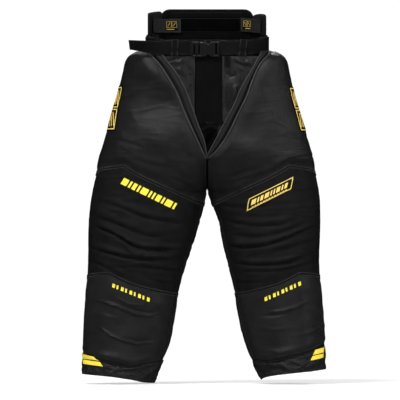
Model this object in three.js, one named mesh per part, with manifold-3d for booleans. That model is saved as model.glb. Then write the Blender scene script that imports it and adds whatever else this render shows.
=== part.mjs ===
// Padded goalkeeper's hockey trousers: a hollow garment hanging from its waist.
// Millimetres, +Z up, the front faces -Y and +X is to the right of someone facing the front.
// The origin is the middle of the waist opening, at the height of the belt.
import * as THREE from "three";
import { mergeVertices } from "three/addons/utils/BufferGeometryUtils.js";
import Module from "manifold-3d";

const wasm = await Module();
wasm.setup();

// ---- driving dimensions ----------------------------------------------------------------------
const GAP = 0.4; // left between pieces that touch
const SIDES = { left: -1, right: 1 };

const WAIST = { halfWidth: 176, halfDepth: 108, flatShare: 0.55, sideRise: 14, backRise: 24 };
const BAND = { bottom: -26, top: 24, thickness: 5 };
const BELT = { width: 40, thickness: 2, slack: 0.7, sideEnd: 2.15, anchorStart: 0.9, rightStart: 0.58 };
const CROTCH_Z = -406;
const SEAT_Z = -200; // above this height the front and back run straight across the middle

// Height, then distance from the middle plane, of each leg's outer and inner edge.
const OUTLINE = {
  left: {
    outer: [[-10, 206], [-26, 224], [-72, 240], [-142, 258], [-281, 299], [-420, 333], [-490, 342],
      [-629, 345], [-768, 354], [-980, 364]],
    inner: [[CROTCH_Z, 0], [-444, 6], [-490, 17], [-560, 38], [-629, 61], [-699, 81], [-838, 107],
      [-908, 130], [-980, 160]],
  },
  right: {
    outer: [[-10, 200], [-26, 217], [-72, 234], [-142, 252], [-281, 293], [-420, 325], [-490, 328],
      [-629, 325], [-768, 336], [-980, 346]],
    inner: [[CROTCH_Z, 0], [-444, 11], [-490, 30], [-560, 44], [-629, 61], [-699, 78], [-838, 107],
      [-908, 133], [-980, 172]],
  },
};
const HALF_DEPTH = [[-10, 109], [-142, 118], [-350, 124], [-554, 114], [-750, 106], [-980, 108]];
const CENTRE_Y = [[-10, 0], [-300, 0], [-554, 8], [-800, 24], [-980, 30]]; // the shins hang a little back
const FRONT_SHARE = [[-10, 0.5], [-142, 0.46], [CROTCH_Z, 0.5], [-980, 0.5]]; // where the front is deepest

// Seams that run round a leg: place around the leg, then height.
const THIGH_SEAM = [[0, -450], [0.4, -425], [1, -385], [1.5, -342], [2, -362], [3, -400], [4, -450]];
const KNEE_SEAM = [[0, -713], [1, -684], [1.5, -649], [2, -660], [3, -690], [4, -713]];
const CUFF_SEAM = [[0, -905], [1, -908], [2, -866], [3, -898], [4, -905]];
const HEM = {
  left: [[0, -967], [1, -950], [2, -941], [3, -948], [4, -967]],
  right: [[0, -958], [1, -938], [2, -927], [3, -936], [4, -958]],
};
// The V between the yokes and the thigh pads: height, then distance from the middle plane.
const V_SEAM = [
  [-320, 2], [-240, 28], [-180, 55], [-130, 78], [-90, 97], [-61, 122], [-30, 150], [-10, 165],
];
const FLY = { left: -38, right: 47, top: -30, bottom: -259 };
const YOKE_BOTTOM = { left: -205, right: -186 }; // where the V reaches the fly
const GUSSET_TOP = -263;

const COVER = 4; // a padded panel's cloth and lining
const FOAM_GAP = 2.8; // foam lies loose inside its cover
const CLOTH = 3; // an unpadded panel
const THIGH_FOAM = 20; // foam reaches this far in from the outer surface
const SHIN_FOAM = 12;
const SIDE_SEAM = 2.08; // where front panels meet back panels, around the leg

const HIP = { z: -190, pelvisRadius: 134, thighRadius: 138, gussetRadius: 221, gussetHalfWidth: 25 };
const THIGH_TOP = -240;
const PELVIS_BOTTOM = -392; // the lowest point of the pelvis panels before the hip cylinder cuts them
const HIP_PAD = { top: -11, foamTop: -48, foamInset: 0.1 };
const SEAT_TOP = -12;
const HIP_CLEAR_Z = -140; // the thighs never rise past this height in front of the pelvis

const KIDNEY = { bottom: 20, top: 115, from: 2.62, inner: 22, endInner: 16, cover: 2.5, foamGap: 1.2 };
// Shares of the way to the pad's ends: where it starts to thin, and where its top starts to drop.
const KIDNEY_END = { thinFrom: 0.6, dropFrom: 0.72, drop: 26, roundness: 3 };
const LOOP_STRIP = { bottom: 52, top: 87, halfTurn: 1.25, thickness: 1.4 };
const WING = { from: 2.0, to: 2.58, bottom: 14, thickness: 4 };
const WING_TOP = { left: [97, 107], right: [95, 101] };

const BUCKLE = { z: -4, halfHeight: 21, back: 1, front: 12.6 };
const SOCKET = { from: -8, to: 35 };
const LADDER_FROM = -46.5;
const BELT_TAIL = { bend: -108, to: -226, rise: 9, twist: 0.75, reach: -6, taper: 0.12 };
const KEEPERS = { left: [-101.5, -84], right: [94, 113] };

const COLOURS = {
  pad: { color: 0x262626, roughness: 0.62 },
  stretch: { color: 0x161616, roughness: 0.9 },
  satin: { color: 0x303030, roughness: 0.45 },
  cordura: { color: 0x202020, roughness: 0.75 },
  webbing: { color: 0x171717, roughness: 0.8 },
  loop: { color: 0x090909, roughness: 1 },
  tab: { color: 0x2b2b2b, roughness: 0.75 },
  foam: { color: 0x8a8d90, roughness: 0.95 },
  plastic: { color: 0x131313, roughness: 0.4 },
  label: { color: 0x0d0d0d, roughness: 0.5 },
};

// ---- solids ----------------------------------------------------------------------------------
const trousers = new THREE.Group();
trousers.name = "hockey_pants";

function addMesh(name, geometry, colours) {
  geometry.computeVertexNormals();
  const mesh = new THREE.Mesh(geometry, new THREE.MeshStandardMaterial({ metalness: 0, ...colours }));
  mesh.name = name;
  trousers.add(mesh);
  return mesh;
}

function toSolid(geometry) {
  const bare = new THREE.BufferGeometry();
  bare.setAttribute("position", geometry.getAttribute("position"));
  if (geometry.index) bare.setIndex(geometry.index);
  const merged = mergeVertices(bare, 1e-4);
  return new wasm.Manifold(
    new wasm.Mesh({
      numProp: 3,
      vertProperties: new Float32Array(merged.attributes.position.array),
      triVerts: new Uint32Array(merged.index.array),
    }),
  );
}

function fromSolid(solid) {
  const mesh = solid.getMesh();
  const geometry = new THREE.BufferGeometry();
  geometry.setAttribute("position", new THREE.BufferAttribute(mesh.vertProperties, 3));
  geometry.setIndex(new THREE.BufferAttribute(mesh.triVerts, 1));
  return geometry;
}

function boxGeometry(low, high) {
  const size = high.map((value, axis) => value - low[axis]);
  const geometry = new THREE.BoxGeometry(...size);
  return geometry.translate(...low.map((value, axis) => value + size[axis] / 2));
}

function cylinderAlongX(radius, halfWidth, z) {
  const geometry = new THREE.CylinderGeometry(radius, radius, 2 * halfWidth, 64);
  return geometry.rotateZ(Math.PI / 2).translate(0, 0, z);
}

// A closed sheet with thickness: point(u, v, layer) gives its outer face at layer 0 and its inner at 1.
function closedSheet(point, columns, rows, wraps = false) {
  const across = wraps ? columns : columns + 1;
  const positions = [];
  for (let layer = 0; layer < 2; layer++)
    for (let j = 0; j <= rows; j++)
      for (let i = 0; i < across; i++) positions.push(...point(i / columns, j / rows, layer));
  const at = (i, j, layer) => (layer * (rows + 1) + j) * across + (i % across);
  const indices = [];
  const quad = (a, b, c, d) => indices.push(a, b, c, a, c, d);
  for (let i = 0; i < columns; i++) {
    for (let j = 0; j < rows; j++) {
      quad(at(i, j, 0), at(i + 1, j, 0), at(i + 1, j + 1, 0), at(i, j + 1, 0));
      quad(at(i, j, 1), at(i, j + 1, 1), at(i + 1, j + 1, 1), at(i + 1, j, 1));
    }
    quad(at(i + 1, 0, 0), at(i, 0, 0), at(i, 0, 1), at(i + 1, 0, 1));
    quad(at(i, rows, 0), at(i + 1, rows, 0), at(i + 1, rows, 1), at(i, rows, 1));
  }
  for (let j = 0; j < rows && !wraps; j++) {
    quad(at(0, j, 0), at(0, j + 1, 0), at(0, j + 1, 1), at(0, j, 1));
    quad(at(columns, j + 1, 0), at(columns, j, 0), at(columns, j, 1), at(columns, j + 1, 1));
  }
  if (signedVolume(positions, indices) < 0) indices.reverse();
  const geometry = new THREE.BufferGeometry();
  geometry.setAttribute("position", new THREE.Float32BufferAttribute(positions, 3));
  return geometry.setIndex(indices);
}

function signedVolume(positions, indices) {
  const corner = (k) => new THREE.Vector3().fromArray(positions, 3 * indices[k]);
  let sum = 0;
  for (let k = 0; k < indices.length; k += 3) sum += corner(k).dot(corner(k + 1).cross(corner(k + 2)));
  return sum;
}

// ---- the garment's outline -------------------------------------------------------------------
const mix = THREE.MathUtils.lerp;

// A smooth curve through [key, value] pairs, flat beyond its ends.
function smooth(pairs) {
  const sorted = [...pairs].sort((a, b) => a[0] - b[0]);
  const keys = sorted.map((pair) => pair[0]);
  const curve = new THREE.CubicInterpolant(keys, sorted.map((pair) => pair[1]), 1);
  return (key) => curve.evaluate(THREE.MathUtils.clamp(key, keys[0], keys.at(-1)))[0];
}

const outline = {};
for (const side of Object.keys(SIDES))
  outline[side] = { outer: smooth(OUTLINE[side].outer), inner: smooth(OUTLINE[side].inner) };
const halfDepth = smooth(HALF_DEPTH);
const centreY = smooth(CENTRE_Y);
const frontShare = smooth(FRONT_SHARE);
const vSeam = smooth(V_SEAM);
const thighSeam = smooth(THIGH_SEAM);
const kneeSeam = smooth(KNEE_SEAM);
const cuffSeam = smooth(CUFF_SEAM);
const hem = { left: smooth(HEM.left), right: smooth(HEM.right) };

// One half of the garment cut across at height z.
function bodySection(side, z) {
  const inner = z > CROTCH_Z ? 0 : outline[side].inner(z);
  const outer = outline[side].outer(z);
  const fall = THREE.MathUtils.clamp((SEAT_Z - z) / (SEAT_Z - CROTCH_Z), 0, 1);
  return {
    inner,
    outer,
    half: halfDepth(z),
    centre: centreY(z),
    mid: mix(inner, outer, frontShare(z)),
    middle: Math.sqrt(1 - fall * fall), // how deep the middle plane is, as a share of the deepest
  };
}

function waistSection() {
  const { halfWidth, halfDepth: half, flatShare } = WAIST;
  return { inner: 0, outer: halfWidth, half, centre: 0, mid: halfWidth * flatShare, middle: 1 };
}

// around is 0 at the inner front, 1 at the front, 2 at the outer side, 3 at the back and 4 at the
// inner back; depth is how far in from the outer surface.
function sectionPoint(cut, side, around, z, depth) {
  const place = around > 2 ? 4 - around : around;
  const inner = cut.inner + depth * (1 - cut.middle);
  const outer = cut.outer - depth;
  const turn = ((place < 1 ? place : place - 1) * Math.PI) / 2;
  const x = place < 1 ? mix(cut.mid, inner, Math.cos(turn)) : mix(cut.mid, outer, Math.sin(turn));
  const share = place < 1 ? mix(cut.middle, 1, Math.sin(turn)) : Math.cos(turn);
  const half = around > 2 ? cut.half - depth : depth - cut.half;
  return [SIDES[side] * x, cut.centre + half * share, z];
}

const bodyPoint = (side, around, z, depth) => sectionPoint(bodySection(side, z), side, around, z, depth);

// The waist as one loop: turn is 0 at the front, 2 at the right side, 4 at the back and 6 at the left.
function waistPoint(turn, z, depth) {
  const side = turn < 0 || turn > 4 ? "left" : "right";
  const around = turn > 4 ? 8 - turn : Math.abs(turn);
  const sideRise = WAIST.sideRise * smoothShare(around - 1);
  const rise = around < 2 ? sideRise : mix(sideRise, WAIST.backRise, smoothShare(around - 2));
  return sectionPoint(waistSection(), side, around, z + rise, depth);
}

function smoothShare(share) {
  return THREE.MathUtils.smoothstep(share, 0, 1);
}

// Where around the front a distance x from the middle plane falls, at height z.
function aroundAt(side, x, z) {
  const { inner, mid, outer } = bodySection(side, z);
  if (x < mid) return (Math.acos((mid - x) / (mid - inner)) * 2) / Math.PI;
  return 1 + (Math.asin(Math.min((x - mid) / (outer - mid), 1)) * 2) / Math.PI;
}

function frontPoint(x, z, depth) {
  const side = x < 0 ? "left" : "right";
  const [, y] = bodyPoint(side, aroundAt(side, Math.abs(x), z), z, depth);
  return [x, y, z];
}

// ---- kinds of panel --------------------------------------------------------------------------
// A panel of a leg or hip: from, to, top and bottom are numbers or functions.
function legPanel(side, { from, to, top, bottom, outer = 0, inner, columns = 10, rows = 4 }) {
  const value = (limit, key) => (typeof limit === "function" ? limit(key) : limit);
  return closedSheet(
    (u, v, layer) => {
      const place = mix(value(from, 0), value(to, 0), u);
      return bodyPoint(side, place, mix(value(top, place), value(bottom, place), v), layer ? inner : outer);
    },
    columns,
    rows,
  );
}

// A panel on the front whose left and right edges are functions of height.
function frontPanel({ left, right, top, bottom, outer = 0, inner = CLOTH, columns = 4, rows = 6 }) {
  return closedSheet(
    (u, v, layer) => {
      const z = mix(top, bottom, v);
      return frontPoint(mix(left(z), right(z), u), z, layer ? inner : outer);
    },
    columns,
    rows,
  );
}

function waistPanel({ from, to, bottom, top, outer = 0, inner, columns = 12, rows = 1 }) {
  return closedSheet(
    (u, v, layer) => waistPoint(mix(from, to, u), mix(top, bottom, v), layer ? inner : outer),
    columns,
    rows,
  );
}

// ---- hip joint clearance ---------------------------------------------------------------------
// Pelvis panels stay inside one cylinder round the hip axis, and thigh panels outside a larger one,
// with a wider gap beside the crotch gusset, so the legs swing without cutting into the body.
const far = 600;
const hipCylinder = (radius, halfWidth = far) => toSolid(cylinderAlongX(radius, halfWidth, HIP.z));
const gussetRoom = HIP.gussetHalfWidth + 2;
const pelvisZone = hipCylinder(HIP.pelvisRadius)
  .add(toSolid(boxGeometry([-far, -far, HIP_CLEAR_Z], [far, far, far])))
  .subtract(toSolid(boxGeometry([-gussetRoom, -far, -far], [gussetRoom, far, GUSSET_TOP + 2])));
const thighHole = hipCylinder(HIP.thighRadius).add(
  hipCylinder(HIP.gussetRadius, gussetRoom),
);
const pelvisPart = (geometry) => fromSolid(toSolid(geometry).intersect(pelvisZone));
const thighPart = (geometry) => fromSolid(toSolid(geometry).subtract(thighHole));

// ---- waist: band, belt, kidney pad and tabs --------------------------------------------------
function makeWaistband() {
  const band = { ...BAND, inner: BAND.thickness };
  const seam = 0.01;
  const front = waistPanel({ ...band, from: -2, to: 2, columns: 24 });
  addMesh("waistband_front", front, COLOURS.webbing);
  const back = waistPanel({ ...band, from: 2 + seam, to: 6 - seam, columns: 24 });
  addMesh("waistband_back", back, COLOURS.webbing);
}

// How far in the kidney pad's inner face lies, and how far towards the pad's end that place is.
function kidneyPlace(turn) {
  const end = Math.abs(turn - 4) / (4 - KIDNEY.from);
  const thin = smoothShare((end - KIDNEY_END.thinFrom) / (1 - KIDNEY_END.thinFrom));
  return { end, inner: mix(KIDNEY.inner, KIDNEY.endInner, thin) };
}

function makeKidneyPad() {
  const { from, cover, foamGap, top, bottom } = KIDNEY;
  const { dropFrom, drop, roundness } = KIDNEY_END;
  const outer = BAND.thickness + 1;
  const rise = WAIST.backRise;
  // share 0 is the pad's outer face and share 1 is the face towards the wearer
  const layer = (first, last, inset = 0) =>
    closedSheet(
      (u, v, face) => {
        const turn = mix(from + inset / 60, 8 - from - inset / 60, u);
        const { end, inner } = kidneyPlace(turn);
        const full = inner - outer;
        const dropped = drop * Math.max(0, (end - dropFrom) / (1 - dropFrom)) ** roundness;
        const z = mix(top - inset - dropped, bottom + inset, v) - rise;
        const [x, y] = waistPoint(turn, z, outer + (face ? last(full) : first(full)));
        return [x, y, z + rise];
      },
      20,
      4,
    );
  addMesh("kidney_pad_outer_cover", layer(() => 0, () => cover), COLOURS.pad);
  const foam = layer(() => cover + foamGap, (full) => full - cover - foamGap, 3);
  addMesh("kidney_pad_foam", foam, COLOURS.foam);
  addMesh("kidney_pad_inner_cover", layer((full) => full - cover, (full) => full), COLOURS.stretch);
  const { halfTurn, thickness } = LOOP_STRIP;
  const strip = closedSheet(
    (u, v, face) => {
      const turn = mix(4 - halfTurn, 4 + halfTurn, u);
      const depth = kidneyPlace(turn).inner + GAP + (face ? thickness : 0);
      const z = mix(LOOP_STRIP.top, LOOP_STRIP.bottom, v);
      const [x, y] = waistPoint(turn, z, depth);
      return [x, y, z];
    },
    20,
    1,
  );
  addMesh("kidney_loop_strip", strip, COLOURS.loop);
}

function makeSideWings() {
  const { from, to, bottom, thickness } = WING;
  for (const [side, sign] of Object.entries(SIDES)) {
    const [sideTop, backTop] = WING_TOP[side];
    const wing = closedSheet(
      (u, v, layer) => {
        const around = mix(from, to, u);
        const z = mix(mix(sideTop, backTop, u), bottom, v);
        const depth = BAND.thickness + 1.4 + (layer ? thickness : 0);
        const [x, y] = sectionPoint(waistSection(), side, around, z, depth);
        return [x, y, z];
      },
      6,
      2,
    );
    addMesh("side_wing_" + side, wing, COLOURS.cordura);
  }
}

// Hook-and-loop tabs, each sewn to a wing and stuck down on the loop strip of the kidney pad.
// from and to are shares of the way along the tab.
const TAB = {
  halfHeight: 20.5,
  thickness: 2,
  patch: { halfHeight: 17.5, thickness: 1, from: 0.62, to: 0.97 },
  label: { halfHeight: 13, thickness: 0.8, from: 0.52, to: 0.92 },
};
const TAB_PATHS = {
  left: { z: 67, points: [[155, 41.5], [139, 58], [122, 72], [100, 80.6], [76, 81.8]] },
  right: { z: 68, points: [[155, 41.5], [143, 54], [128, 67.5], [112, 77.5], [98, 81]] },
};

function tabSheet(side, first, last, fromShare, toShare, halfHeight) {
  const { z, points } = TAB_PATHS[side];
  const path = new THREE.CatmullRomCurve3(points.map(([x, y]) => new THREE.Vector3(x, y, 0)));
  return closedSheet(
    (u, v, layer) => {
      const share = mix(fromShare, toShare, u);
      const at = path.getPointAt(share);
      const along = path.getTangentAt(share);
      const off = layer ? last : first; // towards the wearer
      return [SIDES[side] * (at.x - along.y * off), at.y + along.x * off, z + mix(halfHeight, -halfHeight, v)];
    },
    8,
    1,
  );
}

function makeTabs() {
  const { halfHeight, thickness, patch, label } = TAB;
  for (const side of Object.keys(SIDES)) {
    addMesh("waist_tab_" + side, tabSheet(side, 0, thickness, 0, 1, halfHeight), COLOURS.tab);
    const back = -GAP;
    const hooks = tabSheet(side, back, back - patch.thickness, patch.from, patch.to, patch.halfHeight);
    addMesh("tab_hook_patch_" + side, hooks, COLOURS.loop);
    const face = thickness + GAP;
    const sewn = tabSheet(side, face, face + label.thickness, label.from, label.to, label.halfHeight);
    addMesh("tab_label_" + side, sewn, COLOURS.label);
  }
}

const beltFront = WAIST.halfDepth; // the flat front of the waist lies this far forward
const tailGap = GAP + BELT.slack + BELT.thickness + GAP;

function makeBelt() {
  const half = BELT.width / 2;
  const near = -GAP - BELT.slack;
  const strap = { bottom: -half, top: half, outer: near - BELT.thickness, inner: near, columns: 14 };
  const left = waistPanel({ ...strap, from: -BELT.sideEnd, to: -BELT.anchorStart });
  addMesh("belt_anchor_strap", left, COLOURS.webbing);
  const right = waistPanel({ ...strap, from: BELT.rightStart, to: BELT.sideEnd });
  addMesh("belt_webbing_right", right, COLOURS.webbing);
  // The free tail runs straight out past the hip, rising and turning over a little.
  const tail = { from: LADDER_FROM - 1, ...BELT_TAIL };
  const sheet = closedSheet(
    (u, v, layer) => {
      const x = mix(tail.from, tail.to, u);
      const share = Math.max(0, (x - tail.bend) / (tail.to - tail.bend));
      const lean = tail.twist * smoothShare(share);
      const up = mix(half, -half, v) * (1 - tail.taper * share);
      const out = layer ? 0 : BELT.thickness;
      const y = -beltFront - tailGap + tail.reach * share - up * Math.sin(lean) - out * Math.cos(lean);
      return [x, y, tail.rise * smoothShare(share) + up * Math.cos(lean) - out * Math.sin(lean)];
    },
    14,
    2,
  );
  addMesh("belt_tail", sheet, COLOURS.webbing);
}

// A loop of webbing round the belt, sewn to the waistband above and below it.
function makeBeltKeepers() {
  const wall = 1.8;
  const reach = BELT.width / 2 + 1.2;
  for (const [side, [from, to]] of Object.entries(KEEPERS)) {
    const slope = side === "right" ? 1.4 : 0; // the right one starts round the corner
    const lead = -beltFront - tailGap - BELT.thickness - GAP;
    const near = -beltFront - GAP;
    const profile = new THREE.Shape();
    const front = lead - wall;
    const top = reach + wall;
    const outside = [[near, top], [front, top], [front, -top], [near, -top]];
    const inside = [[near, -reach], [lead, -reach], [lead, reach], [near, reach]];
    [...outside, ...inside].forEach(([y, z], k) => (k ? profile.lineTo(y, z) : profile.moveTo(y, z)));
    const band = new THREE.ExtrudeGeometry(profile, { depth: to - from, bevelEnabled: false });
    band.rotateX(Math.PI / 2).rotateZ(Math.PI / 2).translate(from, 0, 0);
    const place = band.getAttribute("position");
    for (let k = 0; k < place.count; k++) place.setY(k, place.getY(k) + (place.getX(k) > 100 ? slope : 0));
    addMesh("belt_keeper_" + side, band, COLOURS.webbing);
  }
}

// ---- side-release buckle ---------------------------------------------------------------------
const buckleBack = -beltFront - BUCKLE.back;
const buckleFront = -beltFront - BUCKLE.front;
const buckleMiddle = (buckleBack + buckleFront) / 2;
const CHANNEL = { halfHeight: 17.2, halfDepth: 3.3, to: 18 };

function block(x0, x1, z0, z1, y0, y1) {
  return toSolid(boxGeometry([x0, y0, BUCKLE.z + z0], [x1, y1, BUCKLE.z + z1]));
}

function notch(sign) {
  const shape = new THREE.Shape();
  const tall = BUCKLE.halfHeight + 1;
  shape.moveTo(-7, sign * tall).lineTo(3, sign * (tall - 10)).lineTo(13, sign * tall);
  const prism = new THREE.ExtrudeGeometry(shape, { depth: 20, bevelEnabled: false });
  return toSolid(prism.rotateX(Math.PI / 2).translate(0, buckleMiddle + 10, BUCKLE.z));
}

function makeBuckleSocket() {
  const { from: socketFrom, to: socketTo } = SOCKET;
  const tall = BUCKLE.halfHeight;
  const { halfHeight: wide, halfDepth: deep, to } = CHANNEL;
  let body = block(socketFrom, socketTo, -tall, tall, buckleFront, buckleBack);
  body = body.subtract(block(socketFrom - 1, to, -wide, wide, buckleMiddle - deep, buckleMiddle + deep));
  body = body.subtract(block(23, 29, -wide, wide, buckleFront - 1, buckleBack + 1));
  for (const sign of [1, -1]) body = body.subtract(notch(sign));
  addMesh("buckle_socket", fromSolid(body), COLOURS.plastic);
}

function makeBucklePlug() {
  const tall = BUCKLE.halfHeight;
  const ladderBack = -beltFront - tailGap - BELT.thickness - GAP;
  const ladderFront = ladderBack - 4.2;
  let body = block(LADDER_FROM, -12, -tall, tall, ladderFront, ladderBack);
  for (const [from, to] of [[-40.6, -33], [-26, -19]])
    body = body.subtract(block(from, to, -17.5, 17.5, ladderFront - 1, ladderBack + 1));
  body = body.add(block(-18, SOCKET.from - GAP, -tall + 2, tall - 2, buckleFront + 0.5, buckleBack - 0.5));
  body = body.add(block(SOCKET.from - 1, 14, -3, 3, buckleMiddle - 2, buckleMiddle + 2));
  addMesh("buckle_plug", fromSolid(body), COLOURS.plastic);
}

// The two springy arms of the plug, whose heads show in the socket's notches.
function makeLatchArms() {
  for (const [name, sign] of [["upper", 1], ["lower", -1]]) {
    const shape = new THREE.Shape();
    const points = [[-7.9, 10.5], [-7.9, 14.5], [-1, 16.8], [7, 16.8], [12, 13.5], [12, 11.5], [6, 10.5]];
    points.forEach(([x, z], k) => (k ? shape.lineTo(x, sign * z) : shape.moveTo(x, sign * z)));
    const arm = new THREE.ExtrudeGeometry(shape, { depth: 5, bevelEnabled: false });
    arm.rotateX(Math.PI / 2).translate(0, buckleMiddle + 2.5, BUCKLE.z);
    addMesh("latch_arm_" + name, arm, COLOURS.plastic);
  }
}

// ---- front of the pelvis ---------------------------------------------------------------------
function makeFront() {
  const seam = 2;
  const flyLeft = (z) => Math.max(FLY.left, seam - vSeam(z));
  const flyRight = (z) => Math.min(FLY.right, vSeam(z) - seam);
  const fly = frontPanel({ left: flyLeft, right: flyRight, top: FLY.top, bottom: FLY.bottom, rows: 12 });
  addMesh("fly_panel", pelvisPart(fly), COLOURS.stretch);
  const right = { left: () => FLY.right + 1, right: (z) => vSeam(z) - seam, top: FLY.top };
  const left = { left: (z) => seam - vSeam(z), right: () => FLY.left - 1, top: FLY.top };
  addMesh("front_yoke_right", frontPanel({ ...right, bottom: YOKE_BOTTOM.right }), COLOURS.satin);
  addMesh("front_yoke_left", frontPanel({ ...left, bottom: YOKE_BOTTOM.left }), COLOURS.satin);

  const raised = { outer: -1.8, inner: -GAP, columns: 1, rows: 2 };
  const strip = (outer, from, to, top, bottom) =>
    frontPanel({ ...raised, outer, left: () => from, right: () => to, top, bottom });
  addMesh("snap_placket", strip(raised.outer, -54, -41, -50, -118), COLOURS.satin);
  for (const [name, z] of [["upper", -75], ["lower", -107]]) {
    const snap = new THREE.CylinderGeometry(4.6, 4, 1.6, 16);
    const [x, y] = frontPoint(-47.5, z, raised.outer - 2);
    addMesh("snap_" + name, snap.translate(x, y, z), COLOURS.plastic);
  }
  addMesh("hanging_loop", strip(-4, 50, 67, -24, -55), COLOURS.webbing);
  addMesh("fly_zip_pull", strip(-3.4, 55, 66, -148, -195), COLOURS.satin);
}

// The strip that runs under the crotch, half an ellipse from front to back.
function makeGusset() {
  const tall = SEAT_Z - CROTCH_Z;
  const start = Math.asin((SEAT_Z - GUSSET_TOP) / tall);
  const band = closedSheet(
    (u, v, layer) => {
      const angle = mix(start, Math.PI - start, u);
      const deep = layer * CLOTH;
      const y = -(halfDepth(-320) - deep) * Math.cos(angle);
      return [mix(-1, 1, v) * HIP.gussetHalfWidth, y, SEAT_Z - (tall - deep) * Math.sin(angle)];
    },
    14,
    1,
  );
  addMesh("crotch_gusset", band, COLOURS.stretch);
}

// ---- pads and legs ---------------------------------------------------------------------------
const FRONT = { from: 0.02, to: SIDE_SEAM };
const BACK = { from: SIDE_SEAM + 0.02, to: 3.98 };

function makeHipPanels(side) {
  const { top, foamTop, foamInset } = HIP_PAD;
  const hipPad = (inset, outer, inner, highest) =>
    closedSheet(
      (u, v, layer) => {
        const z = mix(highest, PELVIS_BOTTOM, v);
        const from = aroundAt(side, Math.max(vSeam(z), 2) + 1, z) + inset;
        return bodyPoint(side, mix(from, SIDE_SEAM - inset, u), z, layer ? inner : outer);
      },
      12,
      9,
    );
  addMesh("hip_pad_cover_" + side, pelvisPart(hipPad(0, 0, COVER, top)), COLOURS.pad);
  const foam = hipPad(foamInset, COVER + FOAM_GAP, THIGH_FOAM, foamTop);
  addMesh("hip_pad_foam_" + side, pelvisPart(foam), COLOURS.foam);
  const seat = legPanel(side, { ...BACK, top: SEAT_TOP, bottom: PELVIS_BOTTOM, inner: COVER, rows: 8 });
  addMesh("seat_panel_" + side, pelvisPart(seat), COLOURS.satin);
}

const above = (seam, gap = 1) => (place) => seam(place) + gap;
const below = (seam, gap = 1) => (place) => seam(place) - gap;

function makeThigh(side) {
  const cover = { top: THIGH_TOP, bottom: above(thighSeam), inner: COVER, rows: 4 };
  addMesh("thigh_pad_cover_" + side, thighPart(legPanel(side, { ...FRONT, ...cover })), COLOURS.pad);
  addMesh("thigh_back_panel_" + side, thighPart(legPanel(side, { ...BACK, ...cover })), COLOURS.satin);
  const foam = { from: 0.35, to: 1.95, top: THIGH_TOP, bottom: above(thighSeam, 8) };
  const pad = legPanel(side, { ...foam, outer: COVER + FOAM_GAP, inner: THIGH_FOAM });
  addMesh("thigh_foam_" + side, thighPart(pad), COLOURS.foam);
}

function makeKnee(side) {
  const cloth = { top: below(thighSeam), bottom: above(kneeSeam), inner: CLOTH };
  addMesh("knee_panel_" + side, legPanel(side, { ...FRONT, ...cloth }), COLOURS.stretch);
  addMesh("knee_back_panel_" + side, legPanel(side, { ...BACK, ...cloth }), COLOURS.stretch);
}

function makeShin(side) {
  const cover = { top: below(kneeSeam), bottom: above(cuffSeam), inner: COVER, rows: 3 };
  addMesh("shin_panel_" + side, legPanel(side, { ...FRONT, ...cover }), COLOURS.cordura);
  addMesh("calf_panel_" + side, legPanel(side, { ...BACK, ...cover }), COLOURS.cordura);
  const foam = { from: 0.3, to: 1.8, top: below(kneeSeam, 10), bottom: above(cuffSeam, 14) };
  const pad = legPanel(side, { ...foam, outer: COVER + FOAM_GAP, inner: SHIN_FOAM, rows: 3 });
  addMesh("shin_foam_" + side, pad, COLOURS.foam);
  const cuff = closedSheet(
    (u, v, layer) => {
      const place = 4 * u;
      return bodyPoint(side, place, mix(cuffSeam(place) - 1, hem[side](place), v), layer ? CLOTH : 0);
    },
    24,
    1,
    true,
  );
  addMesh("cuff_" + side, cuff, COLOURS.satin);
}

makeWaistband();
makeKidneyPad();
makeSideWings();
makeTabs();
makeBelt();
makeBeltKeepers();
makeBuckleSocket();
makeBucklePlug();
makeLatchArms();
makeFront();
makeGusset();
for (const side of Object.keys(SIDES)) {
  makeHipPanels(side);
  makeThigh(side);
  makeKnee(side);
  makeShin(side);
}

export default trousers;
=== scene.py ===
"""The looks of a pair of padded hockey pants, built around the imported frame."""

import math

import bpy
import numpy as np
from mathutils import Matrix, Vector
from mathutils.bvhtree import BVHTree


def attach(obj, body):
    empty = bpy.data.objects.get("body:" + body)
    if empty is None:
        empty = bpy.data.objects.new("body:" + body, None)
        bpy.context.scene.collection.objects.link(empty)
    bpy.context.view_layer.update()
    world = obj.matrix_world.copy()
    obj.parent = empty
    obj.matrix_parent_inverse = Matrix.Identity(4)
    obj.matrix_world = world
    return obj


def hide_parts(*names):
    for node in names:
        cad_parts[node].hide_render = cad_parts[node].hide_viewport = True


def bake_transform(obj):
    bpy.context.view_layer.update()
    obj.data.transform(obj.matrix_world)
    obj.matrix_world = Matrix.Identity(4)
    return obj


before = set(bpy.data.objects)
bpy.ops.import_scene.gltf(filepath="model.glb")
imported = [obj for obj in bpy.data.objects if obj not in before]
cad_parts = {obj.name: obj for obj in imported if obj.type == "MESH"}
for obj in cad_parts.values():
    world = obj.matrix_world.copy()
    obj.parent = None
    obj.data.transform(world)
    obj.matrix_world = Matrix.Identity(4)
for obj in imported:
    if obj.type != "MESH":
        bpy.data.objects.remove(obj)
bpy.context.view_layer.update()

# ---- sizes, in millimetres as in the part's source ----
MM = 0.001
SIGN = {"left": -1, "right": 1}
CROTCH_Z, SEAT_Z = -406, -200
SIDE_SEAM = 2.08
INSEAM = 0.2
BACK_START, BACK_END = SIDE_SEAM + 0.003, 3.997 + INSEAM
WAIST = {"width": 176, "depth": 108, "flat": 96.8, "side_rise": 14, "back_rise": 24}
BAND = {"bottom": -26, "top": 24, "thickness": 5}
OUTER = {
    "left": [(-10, 206), (-26, 224), (-72, 240), (-142, 258), (-281, 299), (-420, 333), (-490, 342),
             (-629, 345), (-768, 354), (-980, 364)],
    "right": [(-10, 200), (-26, 217), (-72, 234), (-142, 252), (-281, 293), (-420, 325), (-490, 328),
              (-629, 325), (-768, 336), (-980, 346)],
}
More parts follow.
